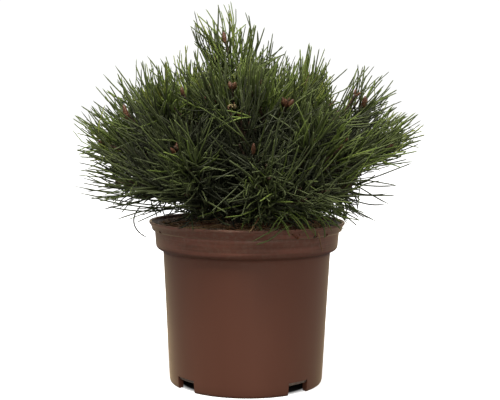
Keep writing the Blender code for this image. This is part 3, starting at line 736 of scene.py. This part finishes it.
def makeBoughs(material):
    # tubes that thin by share^0.8, with bark relief on them
    form, parts = boughForm, []
    u, v = turns(form)
    radius = form["radius"] + (form["tip"] - form["radius"]) * v**0.8
    around, along, seed = form["plates"]
    for index, name in enumerate(boughTable):
        radii = radius + form["relief"] * barkRelief(u, v, around, along, seed + 2 * index)
        parts.append(alongLine(boughControls(name), 0, form["share"] + 0.01, radii))
    boughs = addPiece("bough_bark", *joined(parts), material, "bark")
    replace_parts(boughs, *["bough_" + name for name in boughTable])


def makeShoots(shoots):
    # tapering tubes, with cushions winding round them where the needles sit
    parts, (u, v) = [], turns(shootForm)
    around, along = shootForm["turns"]
    cushions = 1 + shootForm["cushion"] * np.sin(tau * (u * around + v * along))
    for shoot in shoots:
        form = twigForm if shoot["rank"] == 2 else shootForm
        radii = (form["radius"] + (form["tip"] - form["radius"]) * v) * cushions
        parts.append(alongLine(shoot["line"], shoot["low"], 0.99, radii))
    skin = patterned("ridged young shoot bark", 0.75, 1.45, "TexVoronoi", 520.0,
                     [(0.1, "#5E4A33"), (0.45, "#443526"), (0.8, "#2A2018")], 0.0005)
    addPiece("shoots", *joined(parts), skin, "bark")


# buds, and an old flower cluster

budForm = dict(seed=77, length=(8, 6, 4), lengthRange=(0.85, 1.15), radius=(1.7, 1.25, 0.9), radiusRange=(0.9, 1.1),
    sides=9, rings=9, twins=0.5, sunk=(0.3, 0.85), lowest=(215, 225, 250), upright=0.8, aside=0.95, splay=0.4,
    along=(0.06, 0.97), blunt=0.55, scale=0.14, turns=(3, 5))
# the end buds that the photograph shows: how many together, length and radius in mm
showyBuds = dict(leader=(1, 12, 2.3), left=(1, 17, 2.5), upper_left=(1, 9, 1.9), upper_front=(2, 8, 2.5),
    upper_front_right=(4, 9, 2.4), right=(2, 13, 2.4), middle_front=(1, 12, 2.0), middle_front_left=(2, 9, 2.0))
clusterForm = dict(seed=88, place=(-14, -78, 266), forward=0.4, count=11, length=(3.5, 6), radius=1.1,
    rise=(-0.3, 0.9))


def budShape(foot, way, length, radius):
    # a blunt spindle: radius times sin(pi s^0.8)^0.55, with scales winding up it as a saw of angle and share
    form, (turn, climb) = budForm, budForm["turns"]
    along = np.linspace(*form["along"], form["rings"])
    u, v = np.meshgrid(np.arange(form["sides"]) / form["sides"], along)
    swell = np.sin(np.pi * v**0.8) ** form["blunt"]
    scales = 1 + form["scale"] * ((turn * u + climb * v) % 1 - 0.5)
    centres = foot + way * length * along[:, None]
    return sweep(centres * mm, np.broadcast_to(way, centres.shape), radius * swell * scales * mm)


def makeBuds(shoots):
    # one bud or a cluster at the end of every shoot, but for the low twigs
    form, chance, parts = budForm, seeded(budForm["seed"]), []
    for shoot in shoots:
        rank, end, way = shoot["rank"], curvePoint(shoot["line"], 1.0), curveWay(shoot["line"], 1.0)
        if shoot["line"][2][2] < form["lowest"][rank]:
            continue
        count = 1 if rank == 2 or chance.uniform() > form["twins"] else 2
        length = form["length"][rank] * chance.uniform(*form["lengthRange"])
        radius = form["radius"][rank] * chance.uniform(*form["radiusRange"])
        sunk = form["sunk"][0]
        if rank == 0 and shoot["mass"] in showyBuds:
            count, length, radius = showyBuds[shoot["mass"]]
            sunk, way = form["sunk"][1], unit(way + (0, 0, form["upright"]))
        foot, around = end - way * length * sunk, squareTo(way[None])[0]
        first = chance.uniform(0, tau)
        for number in range(count):
            side = turnedAbout(around, way, first + tau * number / count) * (count > 1)
            apart, lean = foot + side * radius * form["aside"], unit(way + side * form["splay"])
            parts.append(budShape(apart, lean, length, radius))
    resin = patterned("resinous bud scales", 0.5, 1.5, "TexVoronoi", 650.0,  # scales 1.5 mm wide, papery at the edge
                      [(0.12, "#6C3E2A"), (0.5, "#523223"), (0.85, "#8C6A4A")], 0.0004)
    addPiece("buds", *joined(parts), resin, "bark")


def makeOldCluster():
    # the withered flower cluster at the front: papery scales spread round one place
    form = clusterForm
    place, count = np.array(form["place"]), form["count"]
    chance = seeded(form["seed"])
    turn = np.arange(count) * golden
    ways = unit(np.stack([np.cos(turn), np.sin(turn) - form["forward"], np.linspace(*form["rise"], count)], -1))
    parts = [budShape(place, way, chance.uniform(*form["length"]), form["radius"]) for way in ways]
    papery = patterned("withered papery scales", 0.8, 1.4, "TexNoise", 600.0,
                       [(0.35, "#4A412D"), (0.5, "#6E6244"), (0.68, "#988B62")], Detail=3.0)
    addPiece("old_flower_cluster", *joined(parts), papery, "bark")


# needles

# by rank where four values stand, in mm and degrees. A pair belongs to the heights in its From, or is the range of an
# even draw. tufts: pairs of needles on the end and side shoots, open and closed angle
needleForm = dict(length=(43, 42, 38, 35), leaderLength=46, lengthSpread=0.1, lengthRange=(0.65, 1.2),
    footLength=0.88, width=1.5, widthRange=(0.85, 1.1), thick=0.9, flat=0.3, ridge=0.7, rootAt=(1.2, 1.2, 0.8, 1.2),
    fascicles=(40, 36, 24, 30), tufts=dict(leader=(50, 26, 60, 42), right=(44, 8, 72, 30)), bearing=56, crowding=0.8,
    open=(62, 60, 58, 66), closed=(28, 28, 28, 50), openSpread=12, openRange=(8, 88), splay=(1.25, 1),
    splayFrom=(205, 275), turnSpread=0.25, pair=6, pairRange=(0.3, 1.6), curve=0.38, curveRange=(0.1, 1.9), lift=0.16,
    liftSpread=0.07, liftFrom=175, liftOver=110, wander=(0.28, 0.1), wanderFrom=(215, 275), curls=0.35, curled=2.0,
    uncurled=0.85, flow=0.32, flowRange=(0.4, 1.6), out=(1.3, 0.3), outFrom=(215, 270), lock=0.07, raggedTuft=0.3,
    shares=(0, 0.35, 0.7, 0.96), widths=(0.7, 1.0, 1.0, 0.78), budClear=5, darker=(42, 62), unshadedWithin=25, seed=900,
    leaderSeed=182900, olderSeed=4000, olderFrom=0.17)
# open places of the crown: from and to in x and z (mm), the share of needles left out, and the y they stand before
openPlaces = [(80, 94, 272, 325, 0.97, 200), (92, 172, 266, 330, 0.85, 200), (136, 180, 236, 268, 0.35, 200),
    (108, 172, 165, 212, 0.95, 200), (-175, -104, 160, 204, 0.8, 200), (-104, -62, 160, 178, 0.85, 200),
    (-62, -10, 150, 166, 0.85, -35), (-64, -50, 262, 282, 0.35, 200), (-14, 16, 226, 262, 0.75, -25),
    (44, 92, 192, 230, 0.75, 0), (90, 120, 212, 262, 0.6, -10), (-50, -14, 196, 216, 0.6, -50),
    (-130, -104, 205, 235, 0.5, -20)]
# the pot as needles meet it: reach and top of the rim, and the mound, its edge and the gap over it
keepOff = dict(rim=(83.5, 97), rimTop=159, reaches=(19, 52, 86), edge=84, gap=1.6, shares=(0.15, 1, 9))
# rounds of lifting and shortening, then lengths tried as shares, and the shortest kept
fitForm = dict(rounds=5, lifted=0.28, shorter=0.93, shares=(0.6, 1, 13), shortest=14)
# base colours of each green, from a painted shaded tone to a painted sunny tone
needleGreens = dict(shade_green=("#363A2C", "#464B39"), deep_green=("#4A5237", "#59623F"),
    mid_green=("#58633A", "#657241"), fresh_green=("#637439", "#748542"), olive_green=("#78823F", "#89944A"))
# painted light and shade: how a spray's green rises with its height and reach and falls with its depth inside the
# crown
greenForm = dict(base=0.62, height=0.5, outside=0.25, deep=0.38, fine=0.12, spread=0.14, low=180, rise=160, reach=140,
    room=60, steps=(0.3, 0.55, 0.82, 1.08))
# how much lighter or darker a mass's greens are; the darkest, on masses that stand behind others, are painted shade
tones = dict(leader=-0.4, upper_left=0.15, upper_front_right=0.15, upper_front=-0.05, right=-0.35, middle_front=-0.15,
    left=0.05, middle_front_left=-0.05, middle_front_right=0.12, skirt_left=-0.1, skirt_front_left=-0.3,
    right_low=-0.12, middle_back_right=-0.4, skirt_right=-0.15, skirt_back_right=-0.4, upper_back_right=-0.2)
# how a mass's needles sweep aside, in shares of their length
sweeps = dict(upper_left=(0.22, -0.05, 0.04), upper_front_right=(0.2, -0.05, -0.04), right=(0.1, 0, -0.02),
    left=(-0.05, 0, 0.03), skirt_left=(-0.05, 0, -0.02), skirt_right=(0.05, 0, -0.05),
    skirt_front_right=(0.08, -0.05, -0.2))


def sprayGreen(shoot, chance):
    # painted light and shade: high and outer sprays take the lighter fresh and olive greens, while low ones near the
    # trunk, deep in the crown and on fine twigs take the darker shade greens
    form = greenForm
    end = curvePoint(shoot["line"], 1.0)
    deep = np.clip(crownRoom(end) / form["room"], 0, 1.2)
    value = (form["base"] + form["height"] * (end[2] - form["low"]) / form["rise"]
             + form["outside"] * np.hypot(end[0], end[1]) / form["reach"] - form["deep"] * deep
             - form["fine"] * (shoot["rank"] > 1) + chance.normal(0, form["spread"]) + tones.get(shoot["mass"], 0))
    return int(np.clip(np.searchsorted(form["steps"], value), 0, 4))


def shootNeedles(shoot, seed):
    # needle pairs at the golden angle, crowding and closing towards the tip. Each row: root, way, bend at the tip,
    # length, width, green, raggedness, 1 leader or 2 other tuft
    form, rank, mass, line = needleForm, shoot["rank"], shoot["mass"], shoot["line"]
    chance = seeded(seed)
    length = norm(line[1] - line[0]) + norm(line[2] - line[1])
    leads = mass == "leader"
    apart = rank < 2 and mass in form["tufts"]
    count = form["tufts"][mass][rank] if apart else form["fascicles"][rank]
    order = np.arange(count) / (count - 1)
    first = max(shoot["low"] + 0.03, shoot["high"] - form["bearing"] / length)
    share = first + (shoot["high"] - first) * order ** form["crowding"]
    way = curveWay(line, share)
    turn = golden * np.arange(count) + chance.normal(0, form["turnSpread"], count)
    around = turnedAbout(np.broadcast_to(squareTo(way[:1])[0], way.shape), way, turn)
    around = unit(around - way * (around * way).sum(1, keepdims=True))
    wide, narrow = form["tufts"][mass][2:] if apart and rank == 0 else (form["open"][rank], form["closed"][rank])
    opening = wide + (narrow - wide) * order + chance.normal(0, form["openSpread"], count)
    opening = opening * np.interp(line[2][2], form["splayFrom"], form["splay"])  # low tufts lie open
    opening = np.radians(np.clip(opening, *form["openRange"]))[:, None]
    out = way * np.cos(opening) + around * np.sin(opening)
    root = curvePoint(line, share) + around * form["rootAt"][rank]
    part = np.cross(way, around) * tan(radians(form["pair"])) * chance.uniform(*form["pairRange"], (count, 1))
    ways = unit(np.stack([out + part, out - part], 1))
    full = form["leaderLength"] if leads else form["length"][rank]
    full = full * (form["footLength"] + (1 - form["footLength"]) * order[:, None])
    full = full * chance.normal(1, form["lengthSpread"], (count, 2)).clip(*form["lengthRange"])
    # needles bend towards the shoot's way, out and up, more so high in the crown, and wander
    curve = (form["curve"] * chance.uniform(*form["curveRange"], (count, 2)))[..., None]
    upper = np.clip((root[:, 2:] - form["liftFrom"]) / form["liftOver"], 0, 1)
    lift = form["lift"] * (1.3 * upper - 0.3) + chance.normal(0, form["liftSpread"], (count, 2))
    wander = np.interp(root[:, 2], form["wanderFrom"], form["wander"])[:, None, None]
    curls = chance.uniform(0, 1, (count, 2, 1)) < form["curls"]
    wander = wander * np.where(curls, form["curled"], form["uncurled"])
    bend = -around[:, None] * curve * np.sin(opening)[:, None] + chance.normal(0, 1, (count, 2, 3)) * wander
    bend[..., 2] += lift
    if not (leads or apart):
        out = np.interp(root[:, 2], form["outFrom"], form["out"])[:, None] / 100
        outwards = unit(root * (1, 1, 0) * out + (0, 0, 1))[:, None]
        bend += form["flow"] * chance.uniform(*form["flowRange"], (count, 2, 1)) * outwards
    bend += np.array(sweeps.get(mass, (0, 0, 0))) + chance.normal(0, form["lock"], 3)  # a spray bends as one lock
    green = sprayGreen(shoot, chance)
    greens = np.clip(green + chance.choice((-1, 0, 0, 0, 1), (count, 2)), 0, 4)
    ragged = chance.uniform(0, 1, (count, 2, 1)) ** 2 * (form["raggedTuft"] if apart and not leads else 1)
    width = form["width"] * chance.uniform(*form["widthRange"], (count, 2, 1))
    kind = np.full((count, 2, 1), 1.0 if leads else 2.0 if apart and rank == 0 else 0.0)
    rows = [np.repeat(root[:, None], 2, 1), ways, bend, full[..., None], width, greens[..., None], ragged, kind]
    return np.concatenate(rows, -1).reshape(-1, 14)


def needleLine(rows, shares):
    # points along each needle, in mm: root + length (way t + bend t^2)
    t = np.asarray(shares)[None, :, None]
    return rows[:, None, :3] + rows[:, None, 9:10] * (rows[:, None, 3:6] * t + rows[:, None, 6:9] * t**2)


def touchesPot(rows):
    # whether a needle passes through the rim, the band or the compost
    points = needleLine(rows, np.linspace(*keepOff["shares"]))
    reach, height = np.hypot(points[..., 0], points[..., 1]), points[..., 2]
    inner, outer = keepOff["rim"]
    wall = (height < keepOff["rimTop"]) & (reach > inner) & (reach < outer)
    mound = np.interp(reach, keepOff["reaches"], compostForm["levels"])
    return (wall | (height < mound + keepOff["gap"]) & (reach <= keepOff["edge"])).any(1)


def fitted(rows):
    # lifts needles off the pot step by step, and shortens those that pass the outline, or leaves them out
    form = fitForm
    for _ in range(form["rounds"]):
        hit = touchesPot(rows)
        rows[hit, 3:6] = unit(rows[hit, 3:6] + (0, 0, form["lifted"]))
        rows[hit, 9] *= form["shorter"]
    rows = rows[~touchesPot(rows)]
    shares = np.linspace(*form["shares"])
    tips = rows[:, None, :3] + rows[:, None, 9:10] * shares[:, None] * (rows[:, None, 3:6] + rows[:, None, 6:9])
    inside = crownRoom(tips, rows[:, None, 12], rows[:, None, 13]) > 0
    rows[:, 9] *= np.where(inside, shares, 0).max(1)
    return rows[rows[:, 9] > form["shortest"]]


def thinned(rows):
    # the nearer to the outline and the higher the tips stand, the more are left out, and in open places their share
    form = crownForm
    points = needleLine(rows, form["thinAt"])
    tips = points[:, 2]
    near = 1 - np.clip(crownRoom(tips) / form["thinDepth"], 0, 1)
    leftOut = near * np.interp(tips[:, 2], form["thinFrom"], form["thin"])
    x, y, z = np.moveaxis(points, 2, 0)
    for left, right, low, high, share, front in openPlaces:
        within = ((x > left) & (x < right) & (z > low) & (z < high) & (y < front)).any(1)
        leftOut = np.where(within, np.maximum(leftOut, share), leftOut)
    return rows[(seeded(form["thinSeed"]).uniform(0, 1, len(rows)) > leftOut) | (rows[:, 13] > 0)]


def clearOfBuds(rows):
    # leaves out needles too near the line from the camera to a bud or cluster that shows
    points = needleLine(rows, np.linspace(0.1, 1, 10))
    eye = np.array(cameraForm["place"]) / mm
    keep = np.ones(len(rows), bool)
    ends = [curvePoint(boughControls(name), 1.0) - (0, 0, 2) for name in showyBuds]
    for bud in ends + [np.array(clusterForm["place"])]:
        sight = unit(bud - eye)
        along = (points - eye) @ sight
        aside = norm(points - eye - along[..., None] * sight, axis=-1)
        keep &= ~((aside < needleForm["budClear"]) & (along < norm(bud - eye))).any(1)
    return rows[keep]


def needleMesh(rows):
    # a half-round blade along each needle: rings of three points, from a narrow foot to a blunt tip
    form = needleForm
    shares = np.array(form["shares"] + (1.0,))
    centre = needleLine(rows, shares)
    way = unit(rows[:, None, 3:6] + rows[:, None, 6:9] * 2 * shares[:, None])
    across = unit(np.cross(way, rows[:, None, 6:9] + (0.013, 0.021, 0.017)))
    back = np.cross(across, way)
    width = rows[:, None, 10:11] * np.array(form["widths"])[:, None] / 2
    thick = width * 2 * form["thick"] / form["width"]
    c, w, b = centre[:, :-1], across[:, :-1] * width, back[:, :-1] * thick
    flat, ridge = form["flat"], form["ridge"]
    rings = np.stack([c + w - b * flat, c + b * ridge, c - w - b * flat], 2).reshape(len(rows), -1, 3)
    points = np.concatenate([rings, centre[:, -1:]], 1)
    count = len(form["shares"])
    tip, last = 3 * count, 3 * count - 3
    ends = np.array([(0, 2, 1), (last, last + 1, tip), (last + 1, last + 2, tip), (last + 2, last, tip)])
    faces = np.concatenate([tubeFaces(count, 3)[:(count - 1) * 6], ends])
    return points.reshape(-1, 3) * mm, (faces + (tip + 1) * np.arange(len(rows))[:, None, None]).reshape(-1, 3)


def needleMaterial(name, shaded, sunny):
    # a waxy leaf: its green in 11 mm drifts between a painted shaded and a painted sunny tone, with rows of pores 0.7
    # mm apart in its gloss
    material = patterned(name, 0.5, 1.28, "TexNoise", 90.0, [(0.35, shaded), (0.65, sunny)], Detail=2.0)
    tree = material.node_tree
    place = (tree.nodes["Texture Coordinate"], "Object")
    pores = noise(tree, place, 1500.0)
    feed(tree, tree.nodes["Principled BSDF"], Roughness=mapped(tree, pores, 0, 1, 0.42, 0.6))
    return material


def waxy(green):
    return "waxy " + green.replace("_", " ") + " needles"


def makeNeedles(shoots):
    # needles on every shoot and the outer half of every bough, in one piece for each green
    form, every = needleForm, []
    standsFor = [[] for _ in needleGreens]
    for index, shoot in enumerate(shoots):
        rows = shootNeedles(shoot, form["leaderSeed" if shoot["mass"] == "leader" else "seed"] + index)
        every.append(rows)
        if shoot["rank"] == 0:
            standsFor[int(np.bincount(rows[:, 11].astype(int)).argmax())].append("foliage_" + shoot["mass"])
            older = shootOf(shoot["mass"], 3, shoot["line"], form["olderFrom"], boughForm["share"] + 0.1)
            every.append(shootNeedles(older, form["olderSeed"] + index))
    rows = clearOfBuds(thinned(fitted(np.concatenate(every))))
    # painted shade: needles whose tips lie deep inside the crown take darker greens, and the outermost never take the
    # darkest
    room = crownRoom(needleLine(rows, [1.0])[:, 0])
    darker = (room > form["darker"][0]) * 1 + (room > form["darker"][1])
    rows[:, 11] = np.clip(rows[:, 11] - darker, np.where(room < form["unshadedWithin"], 1, 0), 4)
    print("needles", len(rows))
    for number, (green, colours) in enumerate(needleGreens.items()):
        piece = addPiece("needles_" + green, *needleMesh(rows[rows[:, 11] == number]),
                         needleMaterial(waxy(green), *colours), "needles")
        if standsFor[number]:
            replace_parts(piece, *standsFor[number])


# strands: shed needles, and single green ones that stand clear of the crown

shedForm = dict(count=210, seed=55, least=14, most=80, length=(16, 38), bow=0.12, reach=82, above=1.0, pile=1.5,
    width=1.0)
# laid on the band and over the rim: points in mm, and width
laidNeedles = [([(63.5, -70, 155), (66.3, -69.8, 148), (67.8, -60.8, 140), (70.2, -56, 133.5)], 0.9),
    ([(2, -99, 156), (5, -100, 160), (10, -97, 168), (15, -92, 174)], 1.1)]
strandForm = dict(width=0.9, rings=24, sides=4, rounds=12, thin=([0, 3, 19, 23], [0.7, 1, 0.9, 0.15]))
# single green needles as points in mm, by the green that they take
strays = {
    "mid_green": [  # draped over the front rim, and tips that stand up at the top left
        [(30, -86, 160), (24, -96, 158.5), (14, -98.5, 153), (4, -99.5, 147.5)],
        [(40, -84, 161), (31, -93, 158.6), (21, -98, 149), (12, -98.5, 146.5), (8, -98, 145)],
        [(66, -66, 162), (70, -68.5, 158.5), (71, -67.5, 152), (70.5, -66.5, 147)],
        [(8, -80, 164), (12, -88, 160.5), (13, -93, 158), (12, -95, 157.2)],
        [(56, -74, 160), (60, -81, 158.2), (62, -79.5, 153), (61, -78.5, 150)],
        [(-70, -30, 275), (-78, -34, 290), (-86, -36, 303), (-94, -36, 313)],
        [(-66, -30, 278), (-71, -34, 291), (-77, -36, 303), (-82, -36, 311)],
        [(-95, -30, 262), (-106, -32, 280), (-116, -34, 293), (-124, -34, 304)],
        [(-100, -30, 258), (-114, -32, 274), (-126, -34, 286), (-135, -34, 296)],
        [(-104, -30, 262), (-112, -32, 276), (-118, -34, 288), (-122, -34, 297)],
    ],
    "deep_green": [  # lying out low at the left and the right
        [(-80, -20, 176), (-105, -24, 180), (-135, -26, 185), (-166, -26, 191)],
        [(-78, -22, 172), (-100, -26, 174), (-132, -28, 179), (-162, -28, 185)],
        [(-84, -20, 182), (-110, -24, 188), (-135, -26, 193), (-158, -26, 199)],
        [(-76, -22, 170), (-98, -26, 171), (-125, -28, 175), (-150, -28, 181)],
        [(-70, -22, 170), (-92, -26, 167), (-112, -28, 168), (-134, -28, 172)],
        [(-72, -24, 172), (-90, -28, 170), (-108, -30, 165), (-125, -30, 159)],
        [(-86, -20, 184), (-112, -24, 183), (-134, -24, 186), (-155, -24, 187)],
        [(94, -16, 196), (110, -18, 193), (126, -18, 192), (143, -18, 193)],
        [(88, -28, 180), (98, -32, 172), (110, -34, 166), (122, -35, 160)],
        [(88, -20, 200), (106, -22, 192), (122, -24, 182), (136, -24, 175)],
    ],
    # the shade green strands, below and low in the crown, are painted shade
    "shade_green": [  # hanging below the crown at the left, one of them long, and lying out at the lower right
        [(-102, -20, 171), (-107, -22, 165), (-109, -22, 157), (-106, -22, 149), (-100, -22, 144), (-94, -22, 141)],
        [(-93, -8, 176), (-91, -12, 170), (-87, -16, 165), (-86, -20, 161)],
        [(-82, -8, 180), (-84, -14, 172), (-80, -18, 166), (-78, -22, 161)],
        [(-74, -8, 182), (-78, -12, 174), (-82, -14, 168), (-84, -16, 163)],
        [(-70, -8, 180), (-68, -14, 173), (-72, -20, 167), (-76, -24, 162)],
        [(-52, -78, 163), (-56, -76, 158.8), (-62, -74, 156)],
        [(92, -20, 190), (106, -24, 185), (120, -26, 184), (134, -26, 186)],
        [(90, -24, 184), (104, -28, 178), (118, -30, 175), (131, -30, 176)],
    ],
    "fresh_green": [  # pale ones that cross in front of the shade at the middle
        [(1, -86, 258), (-10, -92, 261), (-20, -95, 263), (-32, -96, 263)],
        [(0, -88, 256), (-12, -93, 257), (-24, -95, 257), (-35, -94, 255)],
        [(3, -86, 257), (-7, -92, 256), (-18, -95, 252), (-29, -96, 246)],
    ],
}
# arcs that droop over the rim, in rows: how many, x of the feet, x and z of the tips
drapeForm = dict(rows=[(14, (24, 58), (66, 98), (152, 170)), (9, (12, 56), (14, 74), (148, 158))], seed=61, footY=-68,
    footHeight=(166, 178), reach=101, out=-9, up=(4, 9))


def strandMesh(points, width):
    # a thin strand through points in mm: rounds of (before + 2 x own + after)/4 smooth its line
    form, points = strandForm, np.array(points, float)
    along = np.linspace(0, len(points) - 1, form["rings"])
    line = np.stack([np.interp(along, np.arange(len(points)), points[:, i]) for i in range(3)], -1)
    for _ in range(form["rounds"]):
        line[1:-1] = (line[:-2] + 2 * line[1:-1] + line[2:]) / 4
    radii = width / 2 * np.interp(np.arange(form["rings"]), *form["thin"])[:, None] * np.ones((1, form["sides"]))
    return sweep(line * mm, unit(np.gradient(line, axis=0)), radii * mm)


def makeShedNeedles():
    # strands bowed by (1 - 4s^2), laid on the mound and drawn in to stay inside the rim
    form = shedForm
    x, y, chance = scattered(form)
    parts = []
    for middleX, middleY in zip(x, y):
        turn, length = chance.uniform(0, tau), chance.uniform(*form["length"])
        step = np.linspace(-0.5, 0.5, 5) * length
        bow = chance.uniform(-form["bow"], form["bow"]) * length * (1 - (step / length * 2) ** 2)
        px = middleX + step * cos(turn) - bow * sin(turn)
        py = middleY + step * sin(turn) + bow * cos(turn)
        drawn = np.minimum(1, form["reach"] / np.hypot(px, py))
        px, py = px * drawn, py * drawn
        pz = compostHeight(px, py) + form["above"] + chance.uniform(0, form["pile"])
        parts.append(strandMesh(np.stack([px, py, pz], -1), form["width"]))
    parts += [strandMesh(points, width) for points, width in laidNeedles]
    dry = patterned("dry shed needles", 0.7, 1.45, "TexNoise", 60.0,  # straw and red-brown in 17 mm drifts
                    [(0.4, "#6E4A30"), (0.5, "#8C6A48"), (0.62, "#A88E66")])
    addPiece("shed_needles", *joined(parts), dry, "needles")


def drapedStrays():
    # from a foot in the crown to a tip outside the rim, carried out and up on the way
    form, chance, lines = drapeForm, seeded(drapeForm["seed"]), []
    for count, footX, tipX, tipZ in form["rows"]:
        for _ in range(count):
            foot = np.array([chance.uniform(*footX), form["footY"], chance.uniform(*form["footHeight"])])
            x = chance.uniform(*tipX)
            tip = np.array([x, -sqrt(form["reach"] ** 2 - x**2), chance.uniform(*tipZ)])
            bend = np.array([0, form["out"], chance.uniform(*form["up"])])
            lines.append([foot, foot * 0.65 + tip * 0.35 + bend, foot * 0.3 + tip * 0.7 + bend, tip])
    return lines


def makeStrays():
    for green, lines in {**strays, "fresh_green": strays["fresh_green"] + drapedStrays()}.items():
        parts = [strandMesh(points, needleForm["width"] * strandForm["width"]) for points in lines]
        addPiece("stray_needles_" + green, *joined(parts), bpy.data.materials[waxy(green)], "needles")


shoots = growShoots()
bark = barkMaterial()
makeTrunk(bark)
makeBoughs(bark)
makeShoots(shoots)
makeBuds(shoots)
makeOldCluster()
makeNeedles(shoots)
makeShedNeedles()
makeStrays()
print("plant made")
